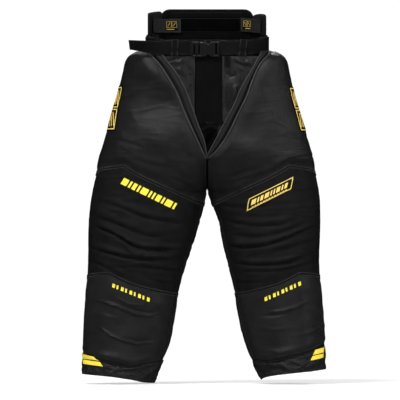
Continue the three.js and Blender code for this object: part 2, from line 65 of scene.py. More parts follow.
INNER = {
    "left": [(-406, 0), (-444, 6), (-490, 17), (-560, 38), (-629, 61), (-699, 81), (-838, 107),
             (-908, 130), (-980, 160)],
    "right": [(-406, 0), (-444, 11), (-490, 30), (-560, 44), (-629, 61), (-699, 78), (-838, 107),
              (-908, 133), (-980, 172)],
}


def spline(pairs):
    """A smooth curve through (key, value) pairs, flat beyond its ends."""
    keys, values = np.array(sorted(pairs), float).T
    slopes = np.diff(values) / np.diff(keys)
    tangents = np.concatenate([slopes[:1], (slopes[1:] + slopes[:-1]) / 2, slopes[-1:]])

    def at(key):
        key = np.clip(key, keys[0], keys[-1])
        k = np.clip(np.searchsorted(keys, key) - 1, 0, len(keys) - 2)
        h = keys[k + 1] - keys[k]
        t = (key - keys[k]) / h
        return (
            values[k] * (1 + 2 * t) * (1 - t) ** 2
            + values[k + 1] * t * t * (3 - 2 * t)
            + h * t * (1 - t) * (tangents[k] * (1 - t) - tangents[k + 1] * t)
        )

    return at


outer_line = {s: spline(OUTER[s]) for s in SIGN}
inner_line = {s: spline(INNER[s]) for s in SIGN}
half_depth = spline([(-10, 109), (-142, 118), (-350, 124), (-554, 114), (-750, 106), (-980, 108)])
centre_y = spline([(-10, 0), (-300, 0), (-554, 8), (-800, 24), (-980, 30)])
front_share = spline([(-10, 0.5), (-142, 0.46), (-406, 0.5), (-980, 0.5)])


def pointed(pairs, tip, roundness=0.05):
    """A curve like spline, but with a point at the key tip."""
    low = spline([p for p in pairs if p[0] <= tip])
    high = spline([p for p in pairs if p[0] >= tip])
    return lambda key: mix(low(key), high(key), smooth((key - tip) / roundness / 2 + 0.5))


def looped(curve):
    """The same curve, read again from its start after 4, once round the leg."""
    return lambda around: curve(np.mod(around, 4))


SEAM_PEAK = 1.36
thigh_seam = looped(pointed([(0, -452), (0.4, -440), (1, -384), (SEAM_PEAK, -341), (1.7, -349), (2, -361),
                             (3, -400), (4, -452)], SEAM_PEAK))
knee_seam = looped(pointed([(0, -713), (0.5, -705), (1, -682), (SEAM_PEAK, -650), (1.7, -654), (2, -660),
                            (3, -690), (4, -713)], SEAM_PEAK))
cuff_seam = {
    "left": looped(spline([(0, -900), (0.3, -905), (0.64, -911), (0.86, -917), (1.12, -906), (1.4, -897),
                           (2, -879), (3, -896), (4, -900)])),
    "right": looped(spline([(0, -905), (0.3, -901), (0.7, -900), (0.95, -890), (1.2, -882), (1.8, -857),
                            (2, -853), (3, -885), (4, -905)])),
}
hem_line = {
    "left": looped(spline([(0, -966), (0.5, -964), (0.8, -956), (1.2, -947), (2, -941), (3, -948),
                           (4, -966)])),
    "right": looped(spline([(0, -957), (1, -938), (2, -927), (3, -936), (4, -957)])),
}
# The edge of each thigh pad along the front V, and the edge of the satin beside it: (z, |x|).
pad_edge = {
    "left": spline([(-8, 168), (-14, 165), (-41, 140), (-83, 111), (-125, 87), (-179, 65), (-246, 35),
                    (-280, 19), (-321, 2)]),
    "right": spline([(-8, 186), (-41, 154), (-95, 128), (-141, 111), (-175, 94), (-225, 70), (-260, 51),
                     (-290, 30), (-321, 3)]),
}
yoke_edge = {
    "left": spline([(-8, 138), (-28, 123), (-70, 90), (-116, 64), (-167, 44), (-217, 27), (-267, 8),
                    (-296, 2)]),
    "right": spline([(-8, 158), (-70, 124), (-121, 95), (-162, 78), (-209, 53), (-259, 27), (-292, 9),
                     (-305, 2)]),
}


def mix(a, b, t):
    return a + (b - a) * t


def smooth(t):
    t = np.clip(t, 0, 1)
    return t * t * (3 - 2 * t)


def bell(t):
    return np.exp(-(t**2))


def in_row(first, last, count, **kind):
    """Evenly spaced values, one to a column of a grid."""
    return np.linspace(first, last, count, **kind)[None, :]


def in_column(first, last, count):
    """Evenly spaced values, one to a row of a grid."""
    return np.linspace(first, last, count)[:, None]


def quarter_round(share):
    """A quarter circle: 0 at 0, 1 and level at 1."""
    return np.sqrt(np.clip(1 - (1 - np.clip(share, 0, 1)) ** 2, 0, 1))


def swell(t):
    """Rises steeply from 0 and levels out at 1, as stuffed cloth does beside a seam."""
    return np.sin(np.clip(t, 0, 1) * math.pi / 2)


def section_point(inner, outer, half, centre, mid, middle, side, around, z, depth):
    place = np.where(around > 2, 4 - around, around)
    inner = inner + depth * (1 - middle)
    outer = outer - depth
    turn = np.where(place < 1, place, place - 1) * math.pi / 2
    x = np.where(place < 1, mix(mid, inner, np.cos(turn)), mix(mid, outer, np.sin(turn)))
    share = np.where(place < 1, mix(middle, 1, np.sin(turn)), np.cos(turn))
    half = np.where(around > 2, half - depth, depth - half)
    return np.stack(np.broadcast_arrays(SIGN[side] * x, centre + half * share, z), -1).astype(float)


def section(side, z):
    inner = np.where(z > CROTCH_Z, 0, inner_line[side](z))
    outer = outer_line[side](z)
    fall = np.clip((SEAT_Z - z) / (SEAT_Z - CROTCH_Z), 0, 1)
    mid = mix(inner, outer, front_share(z))
    return inner, outer, half_depth(z), centre_y(z), mid, np.sqrt(1 - fall**2)


def skin(side, around, z, depth=0.0):
    """A point of the garment: around is 0 at the inner front, 1 front, 2 outer side, 3 back, 4 inner back."""
    around, z = np.broadcast_arrays(np.asarray(around, float), np.asarray(z, float))
    return section_point(*section(side, z), side, around, z, depth)


def around_at(side, x, z):
    inner, outer, _, _, mid, _ = section(side, z)
    low = np.arccos(np.clip((mid - x) / (mid - inner), -1, 1)) * 2 / math.pi
    high = 1 + np.arcsin(np.clip((x - mid) / (outer - mid), 0, 1)) * 2 / math.pi
    return np.where(x < mid, low, high)


def front(x, z, depth=0.0):
    """A point of the front at x, z."""
    x, z = np.broadcast_arrays(np.asarray(x, float), np.asarray(z, float))
    both = [skin(s, around_at(s, np.abs(x), z), z, depth)[..., 1] for s in ("left", "right")]
    return np.stack([x, np.where(x < 0, *both), z], -1)


def core(side, z):
    """The middle of the leg at height z."""
    _, _, _, centre, mid, _ = section(side, np.asarray(z, float))
    return np.stack(np.broadcast_arrays(SIGN[side] * mid, centre, z), -1)


def waist(turn, z, depth=0.0, rise=True):
    """A point of the waist loop: turn is 0 at the front, 2 at the right, 4 at the back, 6 at the left."""
    turn, z = np.broadcast_arrays(np.asarray(turn, float), np.asarray(z, float))
    around = np.where(turn > 4, 8 - turn, np.abs(turn))
    left = (turn < 0) | (turn > 4)
    flat = np.full(z.shape, WAIST["flat"])
    p = section_point(0.0, WAIST["width"], WAIST["depth"], 0.0, flat, 1.0, "right", around, z, depth)
    p[..., 0] *= np.where(left, -1, 1)
    if rise:
        side, back = WAIST["side_rise"], WAIST["back_rise"]
        p[..., 2] += np.where(around < 2, side * smooth(around - 1), mix(side, back, smooth(around - 2)))
    return p


# ---- grids of points and what is done with them ----
def unit(v):
    return v / np.maximum(np.linalg.norm(v, axis=-1, keepdims=True), 1e-9)


def facing(grid, middle, wraps=False):
    """The unit normals of a grid of points, away from middle."""
    if wraps:
        du = np.roll(grid, -1, 1) - np.roll(grid, 1, 1)
    else:
        du = np.gradient(grid, axis=1)
    n = unit(np.cross(du, np.gradient(grid, axis=0)))
    return n * np.sign(np.sum(n * (grid - middle)))


def lengths(grid, wraps=False):
    """Each point's distance along its row and down its column."""
    steps_u = np.linalg.norm(np.diff(grid, axis=1), axis=-1)
    steps_v = np.linalg.norm(np.diff(grid, axis=0), axis=-1)
    along = np.concatenate([np.zeros((grid.shape[0], 1)), np.cumsum(steps_u, 1)], 1)
    down = np.concatenate([np.zeros((1, grid.shape[1])), np.cumsum(steps_v, 0)], 0)
    return along, down


def edges_of(grid):
    """The distances of each point from the left, right, top and bottom edges of its grid."""
    along, down = lengths(grid)
    return along, along[:, -1:] - along, down, down[-1:] - down


RANDOM = np.random.default_rng(23)
ORDER = RANDOM.permutation(256)
SLOPES = unit(RANDOM.normal(size=(256, 3)))


def lattice_noise(p):
    """Smooth noise with one bump per unit."""
    cell = np.floor(p).astype(int)
    share = p - cell
    ease = share**3 * (share * (share * 6 - 15) + 10)
    total = np.zeros(p.shape[:-1])
    for corner in np.ndindex(2, 2, 2):
        i = cell + corner
        k = ORDER[(ORDER[(ORDER[i[..., 0] & 255] + i[..., 1]) & 255] + i[..., 2]) & 255]
        weight = np.prod(np.where(corner, ease, 1 - ease), -1)
        total += weight * np.sum(SLOPES[k] * (share - corner), -1)
    return total * 1.6


def rough_field(points, scale, octaves=3, seed=0.0, fall=0.5):
    """Smooth noise of about -1 to 1 with features of that size in millimetres."""
    p = points / np.asarray(scale, float) + seed * 7.13
    total, size = np.zeros(points.shape[:-1]), 1.0
    for k in range(octaves):
        total += size * lattice_noise(p * 2.03**k + 31.7 * k)
        size *= fall
    return total


def fold_field(x, z, folds):
    """Draped folds: each is a line of (x, z) points with a depth and a width."""
    total = np.zeros(np.broadcast(x, z).shape)
    for points, depth, width in folds:
        low, high = min(p[0] for p in points), max(p[0] for p in points)
        t = (x - low) / (high - low)
        q = (z - spline(points)(x)) / width
        ridge = 0.7 * bell((q - 1.2) / 1.0) + 0.3 * bell((q + 1.8) / 1.5)
        valley = bell(q / 0.5) * 0.75
        total += depth * smooth(t / 0.22) * smooth((1 - t) / 0.22) * (ridge - valley)
    return total


def crease_field(x, z, creases):
    """Raised or sunk creases: each is a polyline of (x, z) points with a height and a width."""
    total = np.zeros(np.broadcast(x, z).shape)
    for points, height, width in creases:
        near, place = np.full(total.shape, 1e9), np.zeros(total.shape)
        count = len(points) - 1
        for k, (a, b) in enumerate(zip(points, points[1:])):
            dx, dz = b[0] - a[0], b[1] - a[1]
            t = np.clip(((x - a[0]) * dx + (z - a[1]) * dz) / (dx * dx + dz * dz), 0, 1)
            away = np.hypot(x - a[0] - t * dx, z - a[1] - t * dz)
            place = np.where(away < near, (k + t) / count, place)
            near = np.minimum(near, away)
        taper = 0.25 + 0.75 * np.sin(math.pi * np.clip(place, 0.02, 0.98))
        total += height * taper * bell(near / width)
    return total


def sample(grid, u, v):
    """Points of a grid at shares u along and v down."""
    rows, columns = grid.shape[0] - 1, grid.shape[1] - 1
    x, y = np.clip(u, 0, 1) * columns, np.clip(v, 0, 1) * rows
    i, j = np.minimum(x.astype(int), columns - 1), np.minimum(y.astype(int), rows - 1)
    s, t = (x - i)[..., None], (y - j)[..., None]
    top = mix(grid[j, i], grid[j, i + 1], s)
    return mix(top, mix(grid[j + 1, i], grid[j + 1, i + 1], s), t)


# ---- meshes: a part is (points, faces, cloth coordinates, share of edge wear) ----
def sheet_part(outer, inner, wraps=False, wear=12.0):
    """A closed sheet between two grids."""
    rows, columns = outer.shape[:2]
    n = rows * columns
    index = np.arange(n).reshape(rows, columns)
    if wraps:
        index = np.concatenate([index, index[:, :1]], 1)
    a, b, c, d = index[:-1, :-1], index[:-1, 1:], index[1:, 1:], index[1:, :-1]
    quads = np.stack([a, b, c, d], -1).reshape(-1, 4)
    rims = [(index[0, 1:], index[0, :-1]), (index[-1, :-1], index[-1, 1:])]
    if not wraps:
        rims += [(index[:-1, 0], index[1:, 0]), (index[1:, -1], index[:-1, -1])]
    sides = [np.stack([p, q, q + n, p + n], -1) for p, q in rims]
    faces = np.concatenate([quads, quads[:, ::-1] + n, *sides])
    left, right, top, bottom = edges_of(outer)
    away = np.minimum(top, bottom) if wraps else np.minimum(np.minimum(left, right), np.minimum(top, bottom))
    cloth = np.stack([left, top, 0 * top], -1).reshape(-1, 3)
    worn = np.clip(1 - away / wear, 0, 1).ravel()
    points = np.concatenate([outer.reshape(-1, 3), inner.reshape(-1, 3)])
    return points, faces, np.concatenate([cloth, cloth]), np.concatenate([worn, worn])


def tube_part(path, radius, sides=8, flat=1.0, up=(0, 0, 1)):
    """A closed round cord along a path, flattened along up if flat is under 1."""
    path = np.asarray(path, float)
    t = unit(np.gradient(path, axis=0))
    side = unit(np.cross(t, np.broadcast_to(up, t.shape)))
    lift = np.cross(side, t)
    turn = np.linspace(0, 2 * math.pi, sides, endpoint=False)
    ring = np.cos(turn)[None, :, None] * side[:, None] + flat * np.sin(turn)[None, :, None] * lift[:, None]
    ends = np.minimum(np.arange(len(path)), np.arange(len(path))[::-1])
    size = np.asarray(radius) * np.where(ends == 0, 0.55, 1.0)
    points = path[:, None] + ring * np.broadcast_to(size, len(path))[:, None, None]
    n = len(path)
    index = np.arange(n * sides).reshape(n, sides)
    nxt = np.roll(index, -1, 1)
    quads = np.stack([index[:-1], nxt[:-1], nxt[1:], index[1:]], -1).reshape(-1, 4)
    faces = [tuple(q) for q in quads.tolist()] + [tuple(index[0][::-1].tolist()), tuple(index[-1].tolist())]
    along = np.concatenate([[0], np.cumsum(np.linalg.norm(np.diff(path, axis=0), axis=1))])
    cloth = np.stack(np.broadcast_arrays(along[:, None], turn[None] * np.max(radius), 0.0), -1)
    return points.reshape(-1, 3), faces, cloth.reshape(-1, 3), np.full(n * sides, 0.4)


def stitch_part(path, normals, pitch=3.6, long=2.5, wide=0.42):
    """A row of sewn stitches along a path: each one a short thread that dips into the cloth at its ends."""
    path, normals = np.asarray(path, float), unit(np.asarray(normals, float))
    run = np.concatenate([[0], np.cumsum(np.linalg.norm(np.diff(path, axis=0), axis=1))])
    starts = np.arange(pitch / 2, run[-1] - pitch / 2, pitch)
    if not len(starts):
        return None

    def at(distance, values):
        return np.stack([np.interp(distance, run, values[:, k]) for k in range(3)], -1)

    rings = []
    for share, lift, size in ((-0.5, -0.35, 0.3), (-0.3, 0.25, 1.0), (0.3, 0.25, 1.0), (0.5, -0.35, 0.3)):
        distance = starts + share * long
        middle, up = at(distance, path), unit(at(distance, normals))
        along = unit(at(distance + 0.5, path) - at(distance - 0.5, path))
        side = unit(np.cross(along, up))
        turns = np.linspace(0, 2 * math.pi, 5, endpoint=False)
        ring = [math.cos(t) * side + math.sin(t) * up for t in turns]
        rings.append(np.stack([middle + up * lift + r * wide * size for r in ring], 1))
    points = np.stack(rings, 1)  # stitch, ring, corner
    count = len(starts)
    index = np.arange(count * 20).reshape(count, 4, 5)
    faces = []
    for k in range(3):
        a, b = index[:, k], np.roll(index[:, k], -1, 1)
        c, d = np.roll(index[:, k + 1], -1, 1), index[:, k + 1]
        faces += [tuple(f) for f in np.stack([a, b, c, d], -1).reshape(-1, 4).tolist()]
    faces += [tuple(f[::-1]) for f in index[:, 0].tolist()] + [tuple(f) for f in index[:, 3].tolist()]
    flat = points.reshape(-1, 3)
    return flat, faces, flat.copy(), np.zeros(len(flat))


def closed_out(points, faces):
    """True if the faces look outwards."""
    if isinstance(faces, np.ndarray):
        corners = np.concatenate([faces[:, [0, 1, 2]], faces[:, [0, 2, 3]]])
    else:
        corners = np.array([(f[0], f[k], f[k + 1]) for f in faces for k in range(1, len(f) - 1)])
    a, b, c = (points[corners[:, k]] for k in range(3))
    return np.sum(a * np.cross(b, c)) > 0


def piece(name, parts, material, sharp=50):
    """One object made of closed parts."""
    parts = [p for p in (parts if isinstance(parts, list) else [parts]) if p is not None]
    points, faces, cloth, worn, base = [], [], [], [], 0
    for p, f, c, w in parts:
        turned = closed_out(p, f)
        listed = (f + base).tolist() if isinstance(f, np.ndarray) else [[k + base for k in g] for g in f]
        faces += listed if turned else [g[::-1] for g in listed]
        points.append(p)
        cloth.append(c)
        worn.append(w)
        base += len(p)
    mesh = bpy.data.meshes.new(name)
    mesh.from_pydata((np.concatenate(points) * MM).tolist(), [], faces)
    at = mesh.attributes.new("cloth", "FLOAT_VECTOR", "POINT")
    at.data.foreach_set("vector", (np.concatenate(cloth) * MM).astype(np.float32).ravel())
    rim = mesh.attributes.new("rim", "FLOAT", "POINT")
    rim.data.foreach_set("value", np.concatenate(worn).astype(np.float32))
    mesh.polygons.foreach_set("use_smooth", [True] * len(mesh.polygons))
    mesh.update()
    mesh.set_sharp_from_angle(angle=math.radians(sharp))
    mesh.materials.append(material)
    made = bpy.data.objects.new(name, mesh)
    bpy.context.scene.collection.objects.link(made)
    return made


def settle(made, place, slot, nodes=()):
    """Rides made on a body, or leaves it fixed where it stands when place is a bend between two, and hides
    the nodes it stands for; slot is not used.
    """
    if isinstance(place, str):
        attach(made, place)
    else:
        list(place)
        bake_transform(made)
    if nodes:
        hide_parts(*nodes)
    return made


def as_sheet(made, grid, wraps=False):
    """Measures made as a sheet on its grid; the sizes are not used, and made is returned as it is."""
    along, down = lengths(grid)
    width, length = along[:, -1].max(), down[-1].max()
    if wraps:
        width += np.linalg.norm(grid[:, -1] - grid[:, 0], axis=-1).max()
    tall = np.linalg.norm(np.diff(grid, axis=0), axis=-1)
    wide = np.linalg.norm(np.diff(grid, axis=1), axis=-1)
    area = float((tall[:, :-1] * wide[:-1]).sum())
    area = min(area, width * length) * MM * MM
    return made


# ---- materials ----
def shader(name, rough, spec):
    material = bpy.data.materials.new(name)
    material.use_nodes = True
    nodes = material.node_tree.nodes
    bsdf = nodes["Principled BSDF"]
    bsdf.inputs["Roughness"].default_value = rough
    bsdf.inputs["Specular IOR Level"].default_value = spec
    return material, bsdf


class Graph:
    """A short way to write a material's nodes."""

    def __init__(self, material):
        self.tree = material.node_tree

    def node(self, kind, inputs=(), **settings):
        made = self.tree.nodes.new("ShaderNode" + kind)
        for key, value in settings.items():
            setattr(made, key, value)
        for key, value in dict(inputs).items():
            if isinstance(value, bpy.types.NodeSocket):
                self.tree.links.new(value, made.inputs[key])
            else:
                made.inputs[key].default_value = value
        return made

    def math(self, operation, a, b=0.0, c=0.0):
        return self.node("Math", {0: a, 1: b, 2: c}, operation=operation).outputs[0]

    def attribute(self, name, kind="Vector"):
        return self.node("Attribute", attribute_name=name).outputs[kind]

    def noise(self, at, scale, detail=3.0, rough=0.55):
        made = self.node("TexNoise", {"Vector": at, "Scale": scale, "Detail": detail, "Roughness": rough})
        return made.outputs["Fac"]

    def span(self, value, low, high, to_low=0.0, to_high=1.0):
        inputs = {"Value": value, "From Min": low, "From Max": high, "To Min": to_low, "To Max": to_high}
        return self.node("MapRange", inputs).outputs[0]

    def blend(self, share, a, b):
        made = self.node("Mix", {0: share}, data_type="RGBA")
        for socket, value in ((made.inputs[6], a), (made.inputs[7], b)):
            if isinstance(value, bpy.types.NodeSocket):
                self.tree.links.new(value, socket)
            else:
                socket.default_value = (*value, 1.0)
        return made.outputs[2]

    def bump(self, height, distance, strength=1.0, under=None):
        inputs = {"Height": height, "Distance": distance, "Strength": strength}
        if under is not None:
            inputs["Normal"] = under
        return self.node("Bump", inputs).outputs[0]

    def link(self, a, b):
        self.tree.links.new(a, b)


def weave_height(g, at, kind, pitch):
    """The height of the threads, 0 to 1, with that many metres from thread to thread."""
    split = g.node("SeparateXYZ", {0: at})
    turn = 2 * math.pi / pitch
    u = g.math("MULTIPLY", split.outputs[0], turn)
    v = g.math("MULTIPLY", split.outputs[1], turn)
    if kind == "plain":
        raw = g.math("MULTIPLY", g.math("SINE", u), g.math("SINE", v))
    elif kind == "twill":
        raw = g.math("SINE", g.math("ADD", u, v))
    elif kind == "rib":
        raw = g.math("SINE", v)
    elif kind == "wale":
        raw = g.math("SINE", u)
    elif kind == "knit":
        bend = g.math("ABSOLUTE", g.math("SINE", g.math("MULTIPLY", u, 0.5)))
        raw = g.math("SINE", g.math("ADD", v, g.math("MULTIPLY", bend, 2.6)))
    else:
        raw = g.span(g.noise(at, 1 / pitch, 2.0), 0.3, 0.7, -1, 1)
    return g.span(raw, -1, 1)


def fabric(name, dark, light, rough, kind, pitch, depth, spec, crinkle=None, worn=None, mottle=22.0):
    """Cloth: dark and light are its threads' colours, crinkle is (size of the creases, their depth)."""
    material, bsdf = shader(name, rough, spec)
    g = Graph(material)
    at = g.attribute("cloth")
    threads = weave_height(g, at, kind, pitch)
    patches = g.span(g.noise(at, mottle, 4.0), 0.3, 0.7)
    fine = g.noise(at, 900.0, 2.0)
    share = g.math("MULTIPLY_ADD", patches, 0.5, g.math("MULTIPLY", threads, 0.35))
    share = g.math("MULTIPLY_ADD", fine, 0.25, share)
    colour = g.blend(share, dark, light)
    rub = g.math("MULTIPLY", g.attribute("rim", "Fac"), g.span(g.noise(at, 60.0, 3.0), 0.38, 0.66))
    if worn:
        colour = g.blend(g.math("MULTIPLY", rub, 0.55), colour, worn)
    g.link(colour, bsdf.inputs["Base Color"])
    streaks = g.noise(at, mottle * 2.3, 3.0)
    g.link(g.span(streaks, 0.3, 0.7, rough - 0.07, rough + 0.07), bsdf.inputs["Roughness"])
    normal = g.bump(threads, depth)
    normal = g.bump(fine, depth * 0.4, 1.0, normal)
    if crinkle:
        size, deep = crinkle
        stretched = g.node("Mapping", {"Vector": at, "Scale": (1.0, 2.2, 1.0)}).outputs[0]
        waves = g.noise(stretched, 1 / size, 4.0, 0.6)
        ridged = g.math("ABSOLUTE", g.math("SUBTRACT", waves, 0.5))
        normal = g.bump(g.span(ridged, 0.0, 0.22), deep, 1.0, normal)
    g.link(normal, bsdf.inputs["Normal"])
    return material


def print_ink(name, colour, rough, shade=0.78):
    """A raised print: slightly uneven ink with a fine pebbled face and rubbed rims."""
    material, bsdf = shader(name, rough, 0.4)
    g = Graph(material)
    at = g.attribute("cloth")
    uneven = g.span(g.noise(at, 120.0, 3.0), 0.35, 0.7)
    deep = tuple(c * shade for c in colour)
    g.link(g.blend(uneven, deep, colour), bsdf.inputs["Base Color"])
    g.link(g.span(g.noise(at, 300.0), 0.3, 0.7, rough - 0.1, rough + 0.12), bsdf.inputs["Roughness"])
    g.link(g.bump(g.noise(at, 1400.0, 2.0), 0.00008), bsdf.inputs["Normal"])
    return material


def moulded(name, dark, light, rough):
    """Moulded plastic: a fine spark-eroded grain, with a painted highlight along its bevelled edges,
    strongest where they face up.
    """
    material, bsdf = shader(name, rough, 0.12)
    g = Graph(material)
    at = g.node("TexCoord").outputs["Object"]
    scuffs = g.span(g.noise(at, 240.0, 4.0), 0.45, 0.75)
    rounded = g.node("Bevel", {"Radius": 0.0015}, samples=6).outputs[0]
    face = g.node("NewGeometry").outputs["Normal"]
    turned = g.node("VectorMath", {0: rounded, 1: face}, operation="DOT_PRODUCT")
    # painted highlight: the light colour along the edges, mostly on those facing up
    ridges = g.span(turned.outputs["Value"], 0.995, 0.93)
    upward = g.node("SeparateXYZ", {0: rounded}).outputs[2]
    ridges = g.math("MULTIPLY", ridges, g.span(upward, 0.1, 0.5, 0.04, 1.0))
    share = g.math("ADD", ridges, g.math("MULTIPLY", scuffs, 0.008))
    g.link(g.blend(share, dark, light), bsdf.inputs["Base Color"])
    g.link(g.span(scuffs, 0.0, 1.0, rough - 0.06, rough + 0.12), bsdf.inputs["Roughness"])
    g.link(g.bump(g.noise(at, 1800.0, 2.0), 0.00006), bsdf.inputs["Normal"])
    return material


def grey(value):
    return (value, value, value * 1.02)


PAD = fabric("pad_fabric", grey(0.0047), grey(0.0099), 0.39, "plain", 0.0011, 0.00016, 0.2, worn=grey(0.03),
             mottle=14.0)
WELT = fabric("welt_fabric", grey(0.0062), grey(0.0135), 0.5, "plain", 0.0011, 0.00018, 0.1, worn=grey(0.024),
              mottle=14.0)
KNIT = fabric("stretch_knit", grey(0.0036), grey(0.0096), 0.5, "knit", 0.0013, 0.00018, 0.07,
              worn=grey(0.018))
FLY_KNIT = fabric("fly_knit", grey(0.0014), grey(0.0036), 0.7, "knit", 0.0012, 0.0002, 0.03)
SATIN = fabric("satin_nylon", grey(0.005), grey(0.012), 0.33, "twill", 0.0007, 0.00005, 0.12, worn=grey(0.03),
               crinkle=(0.09, 0.0008), mottle=9.0)
CORDURA = fabric("cordura", grey(0.0074), grey(0.0162), 0.38, "rib", 0.0016, 0.0002, 0.12, worn=grey(0.03))
CUFF = fabric("cuff_nylon", grey(0.0065), grey(0.0165), 0.34, "plain", 0.0009, 0.0001, 0.14, worn=grey(0.03),
              crinkle=(0.03, 0.0014))
ELASTIC = fabric("waistband_elastic", grey(0.0028), grey(0.0085), 0.55, "wale", 0.0022, 0.0004, 0.06)
WEBBING = fabric("webbing", grey(0.0026), grey(0.0056), 0.55, "twill", 0.0024, 0.00035, 0.035,
                 worn=grey(0.024))
PILE = fabric("loop_pile", grey(0.0007), grey(0.0024), 0.95, "pile", 0.0006, 0.0006, 0.02)
PAD_KNIT = fabric("pad_knit", grey(0.0016), grey(0.0042), 0.85, "knit", 0.0014, 0.0002, 0.03)
TAB = fabric("tab_fabric", grey(0.008), grey(0.0185), 0.55, "plain", 0.001, 0.0002, 0.1, worn=grey(0.04))
BINDING = fabric("binding_tape", grey(0.0036), grey(0.009), 0.5, "wale", 0.0012, 0.0002, 0.06)
PIPING = fabric("piping_cord", grey(0.03), grey(0.055), 0.38, "twill", 0.0008, 0.0001, 0.25)
THREAD = fabric("thread", grey(0.02), grey(0.038), 0.5, "wale", 0.0004, 0.00005, 0.15)
BRIGHT_THREAD = fabric("seam_thread", grey(0.05), grey(0.09), 0.45, "wale", 0.0004, 0.00005, 0.25)
LABEL = fabric("label_satin", grey(0.0012), grey(0.0026), 0.5, "twill", 0.0005, 0.00006, 0.03)
YELLOW = print_ink("print_yellow", (1.0, 0.86, 0.06), 0.45)
GOLD = print_ink("print_gold", (0.9, 0.66, 0.16), 0.42)
STRIPE = print_ink("print_stripe", (1.0, 0.8, 0.07), 0.4, 0.96)
# the light colour of each moulded plastic is its painted edge highlight
PLASTIC = moulded("buckle_plastic", grey(0.0016), grey(0.2), 0.42)
# the latch arms' plastic is a darker copy: painted shade for the recess of the notch they sit in
SHADED_LATCH_PLASTIC = moulded("latch_plastic_shaded", grey(0.0008), grey(0.012), 0.6)
METAL_SNAP = moulded("snap_enamel", grey(0.006), grey(0.06), 0.28)


# ---- the bodies and points given for each hip and knee bend ----
def hip_bend(side):
    return ("pelvis", side + "_thigh", (0, 0, -0.32), (SIGN[side] * 0.0465, 0, -0.4284))


def knee_bend(side):
    return (side + "_thigh", side + "_shin", (0, 0, -0.45), (0, 0, -0.649))


# ---- leg panels ----
CELL = 3.4


def leg_grid(side, first, last, top, bottom, wraps=False, cell=CELL):
    """Places around and heights of a panel's grid: each edge is a number or a function."""
    value = lambda limit, key: limit(key) if callable(limit) else np.full(np.shape(key), float(limit))
    wide = 4 if wraps else 2
    columns = int(170 * wide / cell)
    probe = np.linspace(0.3, 1.7, 8)
    tall = float(np.mean(value(top, probe) - value(bottom, probe)))
    rows = max(int(tall / cell), 3)
    u = in_row(0, 1, columns, endpoint=not wraps)
    v = in_column(0, 1, rows + 1)
    around = mix(value(first, v), value(last, v), u) + 0 * v
    height = None
    for _ in range(8):
        height = mix(value(top, around), value(bottom, around), v)
        around = mix(value(first, height), value(last, height), u)
    return around, height


def raise_panel(side, around, z, offset, depth, wraps=False):
    """Normals, outer and inner grid of a panel: offset lifts the outer one, depth is the thickness."""
    base = skin(side, around, z)
    n = facing(base, core(side, z), wraps)
    outer = base + n * offset[..., None]
    return n, outer, outer - facing(outer, core(side, z), wraps) * depth[..., None]


def lifted(outer, n, u, v, lift):
    """Points of a grid at shares u and v, raised off it, and the normals there."""
    normals = sample(n, u, v)
    return sample(outer, u, v) + normals * lift, normals


def along_edge(outer, edge, distance, count):
    """The shares u and v of a line of points that far in from an edge of a grid."""
    left, right, top, bottom = (d.max() for d in edges_of(outer))
    t = np.linspace(0, 1, count)
    return {
        "top": (t, 0 * t + distance / top),
        "bottom": (t, 0 * t + 1 - distance / bottom),
        "left": (0 * t + distance / left, t),
        "right": (0 * t + 1 - distance / right, t),
    }[edge]


def seam_rows(outer, n, edge, distances):
    """Stitch rows at set distances from an edge of a grid."""
    return [stitch_part(*lifted(outer, n, *along_edge(outer, edge, d, 160), 0.2)) for d in distances]


def edge_cord(outer, n, edge, distance, radius, lift):
    """A piping cord along an edge of a grid."""
    path, _ = lifted(outer, n, *along_edge(outer, edge, distance, 90), lift)
    return tube_part(path, radius, up=(0.3, -1, 0.2))


GRIDS = {}


def keep(name, outer, n, made):
    GRIDS[name] = (outer, n, made)
    return made


THIGH_BULGES = {
    "left": [(-142, -262, 62, 50, 11.0), (-205, -50, 60, 42, 5.0), (-262, -322, 60, 34, 4.0),
             (-128, -60, 50, 36, 9.0), (-120, -158, 60, 46, -15.0)],
    "right": [(112, -296, 62, 46, 13.0), (205, -50, 64, 46, 5.0), (245, -318, 60, 34, 5.0)],
}
THIGH_FOLDS = {
    "left": [
        ([(-330, -352), (-262, -346), (-190, -366)], 1.6, 7.0),
        ([(-300, -262), (-240, -270), (-170, -292)], 1.0, 9.0),
        ([(-110, -372), (-60, -392), (-15, -414)], 1.6, 7.0),
        ([(-230, -318), (-150, -338), (-60, -352)], 1.0, 10.0),
    ],
    "right": [
        ([(60, -392), (130, -372), (200, -352)], 1.6, 7.0),
        ([(190, -262), (250, -254), (312, -262)], 1.0, 9.0),
        ([(20, -372), (80, -366), (140, -342)], 1.2, 8.0),
        ([(230, -322), (290, -312), (330, -318)], 1.4, 7.0),
    ],
}
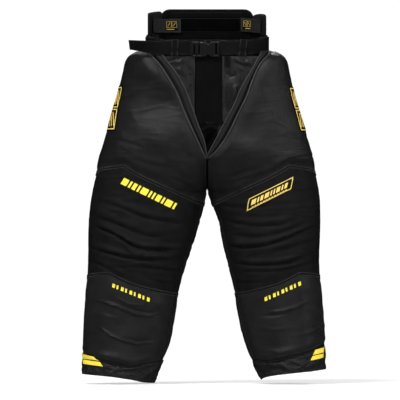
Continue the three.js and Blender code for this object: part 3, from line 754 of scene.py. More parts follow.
KNEE_FOLDS = {
    "left": [
        ([(-345, -506), (-270, -535), (-205, -572), (-136, -581), (-66, -584)], 6.5, 8.0),
        ([(-345, -575), (-275, -592), (-215, -605), (-150, -609), (-75, -611)], 6.0, 8.0),
        ([(-345, -478), (-252, -512), (-185, -538), (-110, -545)], 3.6, 12.0),
        ([(-340, -440), (-262, -456), (-191, -484), (-120, -500), (-50, -508)], 3.2, 10.0),
        ([(-200, -627), (-140, -636), (-74, -645)], 3.8, 7.0),
        ([(-335, -612), (-273, -644), (-225, -668)], 2.8, 9.0),
        ([(-250, -560), (-225, -590), (-200, -604), (-178, -590), (-160, -566)], 2.6, 8.0),
        ([(-180, -663), (-130, -676), (-90, -683)], 2.2, 8.0),
    ],
    "right": [
        ([(44, -570), (127, -573), (170, -566), (213, -553), (328, -508)], 6.5, 8.0),
        ([(70, -621), (150, -625), (213, -622), (290, -600)], 6.0, 8.0),
        ([(34, -492), (90, -506), (136, -513), (212, -509), (260, -496)], 3.8, 10.0),
        ([(25, -448), (70, -458), (113, -461), (190, -452)], 2.8, 9.0),
        ([(74, -640), (145, -643), (230, -638), (318, -616)], 3.6, 7.0),
        ([(70, -672), (110, -676), (160, -676)], 2.6, 7.0),
        ([(180, -588), (240, -575), (325, -549)], 3.4, 9.0),
        ([(60, -532), (130, -545), (210, -534), (300, -500)], 2.6, 12.0),
    ],
}
SHIN_FOLDS = {
    "left": [
        ([(-331, -722), (-296, -731), (-258, -743), (-209, -766), (-165, -771), (-142, -763)], 4.6, 2.8),
        ([(-262, -735), (-209, -756), (-165, -763), (-140, -768)], -2.0, 4.5),
        ([(-310, -803), (-275, -829), (-238, -844), (-203, -853), (-159, -848)], 4.2, 2.8),
        ([(-238, -836), (-203, -845), (-165, -842)], -1.6, 4.5),
        ([(-262, -719), (-223, -737), (-191, -741)], 2.6, 3.5),
        ([(-325, -760), (-290, -772), (-255, -780)], 1.4, 5.0),
    ],
    "right": [
        ([(183, -760), (215, -757), (250, -748), (284, -731)], 4.2, 4.0),
        ([(150, -772), (195, -770), (235, -762)], -2.0, 4.0),
        ([(130, -800), (190, -812), (250, -806)], 1.6, 6.0),
        ([(250, -830), (300, -818), (338, -800)], 1.8, 5.0),
        ([(150, -868), (210, -876), (270, -862)], 2.0, 6.0),
    ],
}


CUFF_CREASES = {
    "left": [
        ([(-252, -928), (-202, -921), (-138, -906)], 4.4, 4.0),
        ([(-198, -955), (-170, -938), (-138, -915)], 3.8, 4.5),
        ([(-232, -914), (-210, -918), (-164, -917)], -4.0, 4.0),
        ([(-318, -903), (-280, -910), (-245, -922)], -3.0, 5.0),
        ([(-346, -915), (-338, -940)], 2.4, 4.0),
        ([(-300, -945), (-268, -930), (-250, -918)], 2.8, 5.0),
    ],
    "right": [
        ([(142, -913), (196, -911), (222, -915), (250, -937)], 4.2, 4.0),
        ([(244, -902), (276, -913), (292, -906)], 3.6, 5.0),
        ([(140, -906), (190, -905), (225, -898), (262, -890)], -4.0, 4.0),
        ([(285, -900), (305, -893)], -3.0, 4.0),
        ([(255, -925), (285, -920), (325, -905)], 2.6, 5.0),
        ([(176, -930), (205, -925), (232, -932)], -2.4, 5.0),
    ],
}


def inseam_share(around):
    """1 along the inside of the leg, falling to 0 at the middle of its front and back."""
    return np.clip(np.cos(np.minimum(around, 4 - around) * math.pi / 2), 0, 1) ** 2


def knee_offset(side, base, z, front_side):
    folds = fold_field(base[..., 0], z, KNEE_FOLDS[side])
    warp = np.stack([rough_field(base, (140, 400, 60), 2, 7.3)] * 3, -1) * 14
    ripple = rough_field(base + warp, (80, 90, 13), 3, 3.1 if front_side else 9.7)
    ridged = 1 - 2.2 * np.abs(rough_field(base + warp, (110, 130, 24), 2, 5.5))
    return folds * (1.35 if front_side else 1.0) + 1.0 * ripple + 1.1 * ridged


def build_leg(side):
    thigh, shin = side + "_thigh", side + "_shin"

    # the thigh pad, from the V and the hip down to the seam above the knee
    first = lambda z: around_at(side, np.maximum(pad_edge[side](z), 1.5), z)
    around, z = leg_grid(side, first, SIDE_SEAM, -9, lambda a: thigh_seam(a) + 1.0)
    base = skin(side, around, z)
    left, right, top, bottom = edges_of(base)
    crown = swell(left / 46) * swell(bottom / 30) * swell((top + 6) / 46) * mix(0.35, 1, swell(right / 80))
    waves = rough_field(base, (130, 160, 100), 2, 1.7) * 2.2 + rough_field(base, (60, 90, 34), 2, 4.2) * 0.7
    creases = np.maximum(0, 1 - 5 * np.abs(rough_field(base, (150, 200, 42), 2, 8.8))) * 0.7
    waves += rough_field(base, (60, 90, 9), 2, 3.6) * 0.26 * (0.3 + np.exp(-left / 90))
    near_seam = np.exp(-bottom / 22) * rough_field(base, (16, 20, 60), 2, 2.5) * 1.6
    for bx, bz, wide, tall, height in THIGH_BULGES[side]:
        waves += height * np.exp(-(((base[..., 0] - bx) / wide) ** 2) - ((z - bz) / tall) ** 2)
    creases += fold_field(base[..., 0], z, THIGH_FOLDS[side])
    offset = crown * (7.5 + waves + creases) - 1.2 + near_seam
    n, outer, inner = raise_panel(side, around, z, offset, 2.5 + 15 * crown)
    pad = piece("thigh_pad_" + side, sheet_part(outer, inner, wear=18), PAD)
    nodes = [k + side for k in ("hip_pad_cover_", "hip_pad_foam_", "thigh_pad_cover_", "thigh_foam_")]
    settle(pad, hip_bend(side), "pad_fabric", nodes)
    keep("thigh_pad_" + side, outer, facing(outer, core(side, z)), pad)
    rows = seam_rows(outer, n, "bottom", [3.5, 8.5]) + seam_rows(outer, n, "left", [4.0])
    settle(piece("thigh_pad_stitching_" + side, rows, THREAD), hip_bend(side), "pad_fabric")

    # the seat and back of the thigh
    around, z = leg_grid(side, BACK_START, 3.99, -12, lambda a: thigh_seam(a) + 1.0)
    base = skin(side, around, z)
    left, right, top, bottom = edges_of(base)
    fade = swell(np.minimum(left, right) / 30) * swell(bottom / 30) * swell(top / 30)
    waves = rough_field(base, (120, 140, 80), 3, 6.1) * 4.0
    sag = 1 - 2.0 * np.abs(rough_field(base, (130, 100, 44), 2, 3.3))
    offset = fade * (waves + 1.6 * sag) - 0.8
    n, outer, inner = raise_panel(side, around, z, offset, np.full(z.shape, 2.2))
    seat = piece("seat_back_" + side, sheet_part(outer, inner), CORDURA)
    settle(seat, hip_bend(side), "cordura", ["seat_panel_" + side, "thigh_back_panel_" + side])
    as_sheet(seat, outer)
    rows = seam_rows(outer, n, "bottom", [3.5, 8.5]) + seam_rows(outer, n, "left", [5.0])
    rows += seam_rows(outer, n, "right", [5.0])
    settle(piece("seat_stitching_" + side, rows, THREAD), hip_bend(side), "cordura")

    # knee tube: front and back
    for label, a0, a1, front_side in (("knee_front_", INSEAM, SIDE_SEAM, True),
                                      ("knee_back_", BACK_START, BACK_END, False)):
        around, z = leg_grid(side, a0, a1, lambda a: thigh_seam(a) - 0.5, lambda a: knee_seam(a) + 0.5)
        base = skin(side, around, z)
        left, right, top, bottom = edges_of(base)
        fade = swell(top / 30) * swell(bottom / 26)
        across = 0.2 + 0.8 * swell(np.minimum(left, right) / 60)
        pucker = (np.exp(-top / 14) + np.exp(-bottom / 14)) * rough_field(base, (11, 14, 70), 2, 1.5) * 1.3
        offset = fade * across * knee_offset(side, base, z, front_side) + pucker - 1.0
        n, outer, inner = raise_panel(side, around, z, offset, np.full(z.shape, 2.0))
        knee = piece(label + side, sheet_part(outer, inner), KNIT)
        node = ("knee_panel_" if front_side else "knee_back_panel_") + side
        settle(knee, knee_bend(side), "stretch_knit", [node])
        as_sheet(knee, outer)
        n = facing(outer, core(side, z))
        rows = seam_rows(outer, n, "left", [4.0]) + seam_rows(outer, n, "right", [4.0])
        settle(piece(label + "stitching_" + side, rows, THREAD), knee_bend(side), "stretch_knit")
        keep(label + side, outer, n, knee)

    # shin guard and calf
    for label, a0, a1, front_side in (("shin_guard_", INSEAM, SIDE_SEAM, True),
                                      ("calf_panel_", BACK_START, BACK_END, False)):
        around, z = leg_grid(side, a0, a1, lambda a: knee_seam(a) - 0.5, lambda a: cuff_seam[side](a) + 1.0,
                             cell=2.8)
        base = skin(side, around, z)
        left, right, top, bottom = edges_of(base)
        across = swell(np.minimum(left, right) / 45)
        crown = swell(top / 40) * across * swell(bottom / 36)
        waves = rough_field(base, (110, 140, 60), 2, 2.9) * 1.8
        waves += rough_field(base, (70, 90, 18), 3, 5.1) * 0.5
        creases = 1.3 * crease_field(base[..., 0], z, SHIN_FOLDS[side]) * swell(np.minimum(left, right) / 14)
        blouse = 4.2 + rough_field(base, (36, 60, 90), 2, 7.7) * 3.0
        blouse = bell((bottom - 13) / 11) * swell(np.minimum(left, right) / 90) * blouse
        offset = crown * (4.0 + waves) + creases * (1 if front_side else 0.7) + blouse
        inside = inseam_share(around)
        offset = offset * mix(1, swell(bottom / 70), inside) - 0.8
        offset -= 2.6 * (1 - 0.6 * inside) * np.exp(-bottom / 4)
        thick = 2.2 + (9.5 * crown if front_side else 0 * crown)
        name = "shin_guard_" + side if front_side else "calf_" + side
        n, outer, inner = raise_panel(side, around, z, offset, thick)
        guard = piece(name, sheet_part(outer, inner), CORDURA)
        nodes = ["shin_panel_" + side, "shin_foam_" + side] if front_side else ["calf_panel_" + side]
        settle(guard, shin, "cordura", nodes)
        n = facing(outer, core(side, z))
        if front_side:
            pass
        else:
            as_sheet(guard, outer)
        rows = seam_rows(outer, n, "top", [3.5, 8.5]) + seam_rows(outer, n, "left", [4.0])
        rows += seam_rows(outer, n, "right", [4.0])
        settle(piece(name + "_stitching", rows, THREAD), shin, "cordura")
        keep(name, outer, n, guard)

    # cuff
    around, z = leg_grid(side, 0.0, 4.0, lambda a: cuff_seam[side](a) - 0.5, hem_line[side],
                         wraps=True, cell=3)
    base = skin(side, around, z)
    _, _, top, bottom = edges_of(base)
    crumple = rough_field(base, (34, 34, 22), 3, 4.4, 0.7) * 3.4
    crease = (1 - 3.0 * np.abs(rough_field(base, (60, 60, 40), 2, 8.1))) * 2.2
    gather = np.exp(-top / 16) * rough_field(base, (14, 14, 60), 2, 2.2) * 2.6
    fade = swell((top + 4) / 18) * swell((bottom + 3) / 14)
    drawn = crease_field(base[..., 0], z, CUFF_CREASES[side]) * (base[..., 1] < centre_y(z))
    tucked = mix(0.7, 2.4, np.minimum(1, np.abs(np.sin(around * math.pi / 2))))
    offset = fade * (crumple * 0.55 + crease * 0.55 + 1.35 * drawn) + gather
    offset += 0.9 * (bottom < 17) - tucked * (0.9 + np.exp(-top / 5))
    offset += 2.4 * inseam_share(around)
    n, outer, inner = raise_panel(side, around, z, offset, np.full(z.shape, 2.0) + 0.8 * (bottom < 17), True)
    cuff = piece("cuff_loop_" + side, sheet_part(outer, inner, wraps=True), CUFF)
    settle(cuff, shin, "cuff_nylon", ["cuff_" + side])
    as_sheet(cuff, outer, wraps=True)
    n = facing(outer, core(side, z), True)
    rows = seam_rows(outer, n, "bottom", [16.0, 13.0])
    settle(piece("cuff_stitching_" + side, rows, THREAD), shin, "cuff_nylon")
    keep("cuff_" + side, outer, n, cuff)

    # felled seams round the leg
    seams = [("thigh_seam_", thigh_seam, thigh, "stretch_knit", "thigh_pad_"),
             ("knee_seam_", knee_seam, shin, "cordura", "shin_guard_"),
             ("cuff_seam_", cuff_seam[side], shin, "cuff_nylon", "shin_guard_")]
    for label, line, place, slot, under in seams:
        a = in_row(0, 4, 220, endpoint=False)
        across = in_column(-1, 1, 7)
        heights = line(a) - across * 5.4
        grid = skin(side, a + 0 * across, heights)
        n = facing(grid, core(side, heights), True)
        lift = (-1.4 if label == "cuff_seam_" else 0.5) + 0.5 * np.sqrt(np.clip(1 - across**2, 0, 1)) + 0 * a
        outer = grid + n * lift[..., None]
        seam = piece(label + side, sheet_part(outer, outer - n * 1.6, wraps=True, wear=3), BINDING)
        settle(seam, place, slot)
        as_sheet(seam, outer, wraps=True)
        rows = [stitch_part(outer[k], n[k], 4.2, 3.3, 0.55) for k in (1, 5)]
        thread = THREAD if label == "cuff_seam_" else BRIGHT_THREAD
        settle(piece(label + "stitching_" + side, rows, thread), place, slot)


for side in SIGN:
    build_leg(side)


# ---- the gathered edge between the waistband and the hips ----
for side in SIGN:
    around = in_row(float(around_at(side, 158, -12)), 3.995, 200)
    v = in_column(0, 1, 14)
    upper = waist(around if side == "right" else 8 - around, -19 + 0 * around, -1.0)
    lower = skin(side, around, -16 + 0 * around, 4.0)
    grid = mix(upper, lower, v[..., None])
    n = facing(grid, np.array([0.0, 0.0, -60.0]))
    gathers = rough_field(grid, (14, 14, 90), 1, 1.4) * 0.8 + rough_field(grid, (40, 40, 60), 2, 2.4) * 0.6
    grid = grid + n * ((np.sin(v * math.pi) * (1.6 + gathers))[..., None])
    gather = piece("waist_gather_" + side, sheet_part(grid, grid - n * 1.6), KNIT)
    settle(gather, "pelvis", "pad_fabric")
    as_sheet(gather, grid)

# ---- piping down the side and the inside of each leg ----
LEG_PIPING = [("thigh_pad_", "hip_side_piping_", "right"), ("knee_front_", "knee_side_piping_", "right"),
              ("knee_front_", "knee_inner_piping_", "left"), ("shin_guard_", "shin_side_piping_", "right"),
              ("shin_guard_", "shin_inner_piping_", "left")]
for side in SIGN:
    for name, label, edge in LEG_PIPING:
        outer, n, _ = GRIDS[name + side]
        place = {"thigh_pad_": hip_bend(side), "knee_front_": knee_bend(side)}.get(name, side + "_shin")
        slot = {"thigh_pad_": "pad_fabric", "knee_front_": "stretch_knit"}.get(name, "cordura")
        settle(piece(label + side, edge_cord(outer, n, edge, 0.5, 1.7, 0.2), BINDING), place, slot)

# ---- the front V: a welt between two lines of piping ----
V_TIP = -318.0


def front_strip(left, right, top, bottom, lift, rows=60, columns=8, depth=1.6):
    """A strip on the front between two edges that are functions of height; lift may be a grid."""
    z = in_column(top, bottom, rows)
    u = in_row(0, 1, columns)
    x = mix(left(z), right(z), u)
    grid = front(x, z + 0 * u)
    n = facing(grid, np.array([0.0, 0.0, -200.0]))
    n = np.where(n[..., 1:2] > 0, -n, n)
    outer = grid + n * np.broadcast_to(lift, x.shape)[..., None]
    return x, z, outer, n, outer - n * np.broadcast_to(depth, x.shape)[..., None]


for side, sign in SIGN.items():
    pad_line = lambda z: sign * np.maximum(pad_edge[side](z), 2.2)
    yoke_line = lambda z: sign * np.maximum(yoke_edge[side](z), 1.2)
    u = in_row(0, 1, 9)
    hump = mix(0.6, 3.6, smooth(u / 0.4)) - 9.0 * smooth((u - 0.6) / 0.32)
    _, _, outer, n, inner = front_strip(yoke_line, pad_line, -9, V_TIP, hump, rows=90, columns=9, depth=3.0)
    welt = piece("v_welt_" + side, sheet_part(outer, inner, wear=6), WELT)
    settle(welt, "pelvis", "pad_fabric")
    as_sheet(welt, outer)
    for label, line, lift, shift, radius in (("v_piping_pad_", pad_line, 3.0, 2.4, 1.7),
                                             ("v_piping_yoke_", yoke_line, 3.0, 0.3, 1.3)):
        z = np.linspace(-10, V_TIP, 110)
        grid = front(line(z) + sign * shift * smooth((z - V_TIP) / 30), z)
        path = grid + np.array([0, -1, 0]) * lift
        settle(piece(label + side, tube_part(path, radius, up=(0, -1, 0)), PIPING), "pelvis", "pad_fabric")

# ---- fly, yokes and gusset ----
FLY = {"left": -38, "right": 47, "top": -24, "bottom": -224}


def fly_left(z):
    return np.maximum(FLY["left"] + 0 * z, -yoke_edge["left"](z) - 4)


def fly_right(z):
    return np.minimum(FLY["right"] + 0 * z, yoke_edge["right"](z) + 4)


_, z, outer, n, _ = front_strip(fly_left, fly_right, FLY["top"], FLY["bottom"], -1.0, 64, 24, 2.0)
across = in_row(-1, 1, 24)
low_down = smooth((FLY["bottom"] + 60 - z) / 60)
arch = 14 * (1 - across**2) * low_down - 4 * low_down
outer = outer + arch[..., None] * [0, 0, 1]
lip = 0.9 * bell((z - FLY["bottom"] - 2) / 5.0) * (1 - across**2)
soft = rough_field(outer, (40, 60, 70), 2, 1.1) * 1.8 + lip - 3.0 * np.exp(-(1 + across) / 0.12)
outer = outer + n * soft[..., None]
fly = piece("fly_front", sheet_part(outer, outer - n * 2), FLY_KNIT)
settle(fly, "pelvis", "stretch_knit", ["fly_panel"])
as_sheet(fly, outer)

YOKE_CREASES = {
    "right": [
        ([(76, -32), (103, -42), (133, -42)], 2.6, 5.0),
        ([(80, -42), (107, -53), (130, -54)], -2.8, 4.0),
        ([(88, -56), (112, -64), (124, -68)], 2.0, 5.0),
        ([(98, -70), (92, -108), (82, -150), (72, -186)], -3.5, 5.0),
        ([(52, -70), (69, -84), (87, -76)], -3.0, 3.0),
        ([(50, -118), (52, -150), (53, -182)], -3.0, 4.0),
        ([(104, -72), (98, -92), (90, -112)], 3.5, 5.0),
    ],
    "left": [
        ([(-132, -25), (-115, -41), (-82, -29), (-50, -25)], -3.5, 3.5),
        ([(-118, -50), (-92, -40), (-66, -38)], 3.0, 6.0),
        ([(-96, -60), (-72, -66), (-58, -84)], 3.0, 8.0),
        ([(-104, -66), (-84, -88), (-74, -118)], 2.6, 6.0),
        ([(-92, -78), (-76, -104), (-66, -132)], -2.4, 4.0),
        ([(-124, -66), (-84, -34), (-52, -30)], -3.0, 3.0),
        ([(-62, -120), (-56, -150), (-46, -180)], 2.2, 5.0),
        ([(-37, -26), (-37, -50), (-38, -72)], -3.6, 3.0),
    ],
}

for side, sign in SIGN.items():
    near = (lambda z: fly_right(z) - 3) if side == "right" else (lambda z: fly_left(z) + 3)
    far_edge = lambda z: sign * (yoke_edge[side](z) + 6)
    bottom = -212 if side == "right" else -236
    x, z, outer, n, _ = front_strip(near, far_edge, -24, bottom, 0.0, 60, 34)
    fade = smooth((z - bottom) / 50)
    gathers = np.exp(-(-24 - z) / 34) * rough_field(outer, (9, 60, 120), 2, 3.9) * 4.2
    drape = rough_field(outer, (30, 60, 46), 2, 6.6) * 5.0 * fade
    ridges = (1 - 3.2 * np.abs(rough_field(outer, (40, 60, 70), 2, 2.4))) * 2.2 * fade
    share = in_row(0, 1, 34)
    pinned = swell(share / 0.12) * swell((1 - share) / 0.1)
    drawn = crease_field(x, z, YOKE_CREASES[side])
    if side == "right":
        drawn += (9 * smooth((x - 48) / 36) * smooth((90 - x) / 8)
                  * smooth((-78 - z) / 50) * smooth((z + 180) / 50))
    lip = 2.2 * bell((share - 0.035) / 0.035)
    offset = 0.9 + lip + pinned * (gathers * 0.6 + drape * 0.35 + ridges * 0.35 + drawn)
    outer = outer + n * offset[..., None]
    yoke = piece("front_satin_" + side, sheet_part(outer, outer - n * 1.6), SATIN)
    settle(yoke, "pelvis", "satin_nylon", ["front_yoke_" + side])
    as_sheet(yoke, outer)
    keep("front_satin_" + side, outer, n, yoke)

start = math.asin(17 / (SEAT_Z - CROTCH_Z))
angle = mix(start, math.pi - math.asin(66 / (SEAT_Z - CROTCH_Z)), in_column(0, 1, 90) ** 1.7)
across = in_row(-1, 1, 28)
inset = mix(1, 14, smooth((angle - 1.2) / 1.0))
arc_y = -(half_depth(-320) - inset) * np.cos(angle) + 0 * across
arc_z = SEAT_Z - (SEAT_Z - CROTCH_Z - inset * 0.6) * np.sin(angle) + 0 * across
wide = 26 + 8 * bell((angle - start) / 0.16)
outer = np.stack(np.broadcast_arrays(across * wide, arc_y, arc_z), -1)
n = facing(outer, np.array([0, 0, SEAT_Z]))
drawn = crease_field(outer[..., 0], outer[..., 2], [
    ([(-24, -268), (-17, -242), (8, -227), (30, -236), (20, -262), (4, -296)], 9.0, 4.5),
    ([(13, -243), (6, -262), (-1, -288)], -16.0, 7.0),
])
outer = outer + n * (drawn * smooth((1.0 - angle) / 0.3) - 2.8)[..., None]
gusset = piece("crotch_strip", sheet_part(outer, outer - n * 2.4), FLY_KNIT)
settle(gusset, "pelvis", "stretch_knit", ["crotch_gusset"])
as_sheet(gusset, outer)

# ---- waistband, belt, pad and tabs ----
def waist_grid(first, last, top, bottom, depth, rows, columns, rise=True):
    turn = in_row(first, last, columns)
    z = in_column(top, bottom, rows)
    grid = waist(turn + 0 * z, z + 0 * turn, depth, rise)
    return z + 0 * turn, grid, facing(grid, np.zeros(3))


for name, first, last, node in (("waist_elastic_front", -2, 2, "waistband_front"),
                                ("waist_elastic_back", 2.005, 5.995, "waistband_back")):
    z, grid, n = waist_grid(first, last, 22 if first < 0 else 25, -26, 0.5, 22, 360)
    along, _ = lengths(grid)
    pleats = np.sin(along * 2 * math.pi / 6.2 + 1.6 * rough_field(grid, (30, 30, 200), 2, 1.0))
    channels = np.abs(np.sin((z - 25) / 51 * math.pi * 4)) ** 0.5
    rough = rough_field(grid, (22, 22, 40), 2, 5.0)
    offset = channels * (0.55 + 0.75 * pleats + 0.8 * rough) - 0.9
    outer = grid + n * offset[..., None]
    outer[..., 2] += (rough * 1.6 + pleats * 0.5) * smooth((z + 14) / 40) * (1 if first < 0 else 0.6)
    band = piece(name, sheet_part(outer, grid - n * 3.6), ELASTIC)
    settle(band, "pelvis", "waistband_elastic", [node])
    as_sheet(band, outer)


def strap(name, grid, n, thickness, material, place, slot, nodes):
    """A strap of webbing: its edges are slightly thicker than its middle."""
    rows = grid.shape[0]
    v = in_column(-1, 1, rows)
    rib = 0.35 * bell((np.abs(v) - 0.88) / 0.07) - 0.5 * np.clip(np.abs(v) - 0.94, 0, 1) / 0.06
    outer = grid + n * (rib + 0 * grid[..., 0])[..., None]
    made = piece(name, sheet_part(outer, grid - n * thickness, wear=4), material)
    settle(made, place, slot, nodes)
    as_sheet(made, outer)
    return made, outer


_, grid, n = waist_grid(0.575, 2.15, 20, -20, -2.75, 17, 120)
wave = rough_field(grid, (60, 60, 90), 2, 2.2) * 0.7
strap("belt_right", grid + n * wave[..., None], n, 2.0, WEBBING, "pelvis", "webbing", ["belt_webbing_right"])
_, grid, n = waist_grid(-2.15, -0.69, 20, -20, -2.1, 17, 120)
strap("belt_left", grid, n, 2.0, WEBBING, "pelvis", "webbing", ["belt_anchor_strap"])

TAIL = {"from": -47.5, "bend": -108, "to": -226, "rise": 9, "twist": 0.7, "reach": -6, "gap": 3.3}
x = in_row(TAIL["from"], TAIL["to"], 90)
share = np.maximum(0, (x - TAIL["bend"]) / (TAIL["to"] - TAIL["bend"]))
lean = TAIL["twist"] * smooth(share)
v = in_column(1, -1, 17)
up = v * 20 * (1 - 0.12 * share)
y = -WAIST["depth"] - TAIL["gap"] + TAIL["reach"] * share - up * np.sin(lean) - 2 * np.cos(lean)
y = y - 0.6 * np.sin(share * 7.0)
height = (TAIL["rise"] * smooth(share) + up * np.cos(lean) - 2 * np.sin(lean)
          - 3.0 * np.sin(share * math.pi) * 0.6)
slant = (1 - v) * 1.6 * smooth((share - 0.8) / 0.2)
grid = np.stack(np.broadcast_arrays(x + slant, y, height), -1)
n = facing(grid, np.array([-130.0, 200.0, 0.0]))
_, outer = strap("belt_free_end", grid, n, 2.0, WEBBING, "buckle_male", "webbing", ["belt_tail"])
hem = []
for back in (3.0, 12.0):
    column = int((1 - back / 175) * 89)
    hem.append(stitch_part(outer[1:-1, column] + n[1:-1, column] * 0.3, n[1:-1, column]))
settle(piece("belt_end_stitching", hem, THREAD), "buckle_male", "webbing")

KEEPERS = {"left": (-101.5, -84, 0.0), "right": (94, 113, 1.4)}
for side, (x0, x1, slope) in KEEPERS.items():
    turns = in_column(0, 2 * math.pi, 49)
    wide = in_row(0, 1, 9)
    near, far, tall = -WAIST["depth"] - 0.4, -WAIST["depth"] - 9.2, 23.0
    power = 0.35
    cy = (near + far) / 2 + (far - near) / 2 * np.sign(np.cos(turns)) * np.abs(np.cos(turns)) ** power
    cz = tall * np.sign(np.sin(turns)) * np.abs(np.sin(turns)) ** power
    lean = (0.6 if side == "left" else 2.6) * cz / tall
    grid = np.stack(np.broadcast_arrays(mix(x0, x1, wide) + lean, cy + slope * (wide > 0.3), cz), -1)[:-1]
    grid = np.swapaxes(grid, 0, 1)
    n = facing(grid, np.array([(x0 + x1) / 2, (near + far) / 2, 0.0]), True)
    outer = grid + n * 0.3
    loop = piece("belt_loop_" + side, sheet_part(outer, outer - n * 1.7, wraps=True, wear=5), WEBBING)
    settle(loop, "pelvis", "webbing", ["belt_keeper_" + side])
    # light thread-coloured cords along both edges of each keeper: a painted highlight on its edges
    edges = [tube_part(outer[k], 0.7, 6, 1.0, (1, 0, 0.1)) for k in (0, -1)]
    settle(piece("belt_loop_edge_highlights_" + side, edges, THREAD), "pelvis", "webbing")
    as_sheet(loop, outer, wraps=True)

# the buckle is kept from the frame, with softened edges
for node in ("buckle_socket", "buckle_plug", "latch_arm_upper", "latch_arm_lower"):
    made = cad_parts[node]
    bevel = made.modifiers.new("soft_edges", "BEVEL")
    bevel.width = 0.0009
    bevel.segments = 3
    bevel.limit_method = "ANGLE"
    bevel.angle_limit = math.radians(35)
    made.data.materials.clear()
    # the latch arms take the darker plastic, painted shade for their recess
    made.data.materials.append(SHADED_LATCH_PLASTIC if node.startswith("latch") else PLASTIC)

# ---- kidney pad ----
PADZ = {"bottom": 22, "top": 113, "from": 2.62}
columns, rows = 150, 64
u = in_row(0, 1, columns)
v = in_column(0, 1, rows)
turn = mix(PADZ["from"], 8 - PADZ["from"], u)
end = np.abs(turn - 4) / (4 - PADZ["from"])
corner = np.clip((end - 0.78) / 0.22, 0, 1)
lift = PADZ["top"] - 30 * (1 - np.sqrt(np.clip(1 - corner**2.4, 0, 1)))
height = mix(lift, PADZ["bottom"], v)
centre = waist(turn + 0 * v, height, 14.0, False)
n_in = -facing(centre, np.array([0.0, 0.0, 60.0]))
left, right, top, bottom = edges_of(centre)
rim = np.minimum(np.minimum(left, right), np.minimum(top, bottom + 4))
full = 8.0 * quarter_round(rim / 15)
quilt = 1.9 * (bell((height - 88) / 2.4) + bell((height - 51) / 2.4)) * smooth(rim / 10)
soft = rough_field(centre, (60, 60, 40), 2, 4.0) * 0.8 * smooth(rim / 12)
inner_face = centre + n_in * (full - quilt + soft)[..., None]
outer_face = centre - n_in * (full * 0.85 + 0.5 + soft)[..., None]
pad = piece("kidney_pad", sheet_part(inner_face, outer_face, wear=8), PAD_KNIT)
settle(pad, "pelvis", "stretch_knit", ["kidney_pad_outer_cover", "kidney_pad_foam", "kidney_pad_inner_cover"])
edge = np.concatenate([centre[::-1, 0], centre[0], centre[:, -1]])
binding = piece("kidney_pad_binding", tube_part(edge, 2.3, 10, 0.8, (0, 1, 0.2)), BINDING)
settle(binding, "pelvis", "stretch_knit")
rows_of = []
for level in (88, 51, 105, 27):
    v_at = (PADZ["top"] - level) / (PADZ["top"] - PADZ["bottom"])
    inset = 0.05 if level < 100 else 0.12
    uu = np.linspace(inset, 1 - inset, 240)
    rows_of.append(stitch_part(*lifted(inner_face, n_in, uu, 0 * uu + v_at, 0.2)))
settle(piece("kidney_pad_stitching", rows_of, THREAD), "pelvis", "stretch_knit")

turn = in_row(4 - 1.25, 4 + 1.25, 130)
height = in_column(86.5, 52.5, 24)
grid = waist(turn + 0 * height, height + 0 * turn, 22.2, False)
n_loop = -facing(grid, np.array([0.0, 0.0, 60.0]))
fuzz = rough_field(grid, (3.0, 3.0, 3.0), 2, 1.0) * 0.35
end = np.abs(turn - 4) / (4 - PADZ["from"])
close = -6.0 * smooth((end - 0.6) / 0.4)
outer = grid + n_loop * (1.1 + fuzz + close)[..., None]
loop = piece("kidney_loop_band", sheet_part(outer, outer - n_loop * 1.6, wear=3), PILE)
settle(loop, "pelvis", "loop_pile", ["kidney_loop_strip"])
as_sheet(loop, outer)

# ---- side wings ----
for side in SIGN:
    tops = (100, 108) if side == "left" else (97, 101)
    u = in_row(0, 1, 26)
    v = in_column(0, 1, 44)
    around = mix(1.99, 2.68, u)
    tip = mix(tops[0], tops[1], u)
    radius = 0.16 if side == "left" else 0.42
    curve = np.sqrt(np.clip(1 - np.clip((radius - np.minimum(u, 1 - u)) / radius, 0, 1) ** 2, 0, 1))
    tip = tip - (5 if side == "left" else 11) * (1 - curve)
    height = mix(tip, 12, v)
    turn = around if side == "right" else 8 - around
    grid = waist(turn + 0 * v, height, 6.4, False)
    n = facing(grid, np.array([0.0, 0.0, 60.0]))
    left, right, top, bottom = edges_of(grid)
    rim = np.minimum(np.minimum(left, right), top)
    full = 2.6 * quarter_round(rim / 5)
    soft = rough_field(grid, (20, 30, 26), 2, 3.0) * 0.9
    outer = grid + n * (soft + full * 0.6)[..., None]
    inner = grid + n * (soft - full * 0.8 - 0.6)[..., None]
    wing = piece("wing_" + side, sheet_part(outer, inner, wear=6), CORDURA)
    settle(wing, "pelvis", "cordura", ["side_wing_" + side])
    as_sheet(wing, outer)
    rim_path = np.concatenate([grid[::-1, 0], grid[0], grid[:, -1]])
    binding = piece("wing_binding_" + side, tube_part(rim_path, 2.0, 8, 0.9, (0, 1, 0.1)), BINDING)
    settle(binding, "pelvis", "cordura")
    # a small sewn tag on the inner face, below the tab
    spot = in_row(2.12, 2.34, 10)
    spot = spot if side == "right" else 8 - spot
    tall = in_column(43.5, 39.5, 4)
    tag = waist(spot + 0 * tall, tall + 0 * spot, 11.2, False)
    m = -facing(tag, np.array([0.0, 0.0, 60.0]))
    settle(piece("wing_tag_" + side, sheet_part(tag + m * 0.8, tag, wear=2), TAB), "pelvis", "cordura")

# ---- waist tabs ----
TABS = {
    "left": (67, [(155, 41.5), (139, 58), (122, 72), (100, 80.6), (76, 81.8)], 0.0),
    "right": (68, [(155, 41.5), (143, 54), (128, 67.5), (112, 77.5), (98, 81)], 1.0),
}


def smooth_path(points, count):
    points = np.array(points, float)
    run = np.concatenate([[0], np.cumsum(np.linalg.norm(np.diff(points, axis=0), axis=1))])
    at = np.linspace(0, run[-1], count)
    return np.stack([spline(list(zip(run, points[:, k])))(at) for k in range(2)], -1)


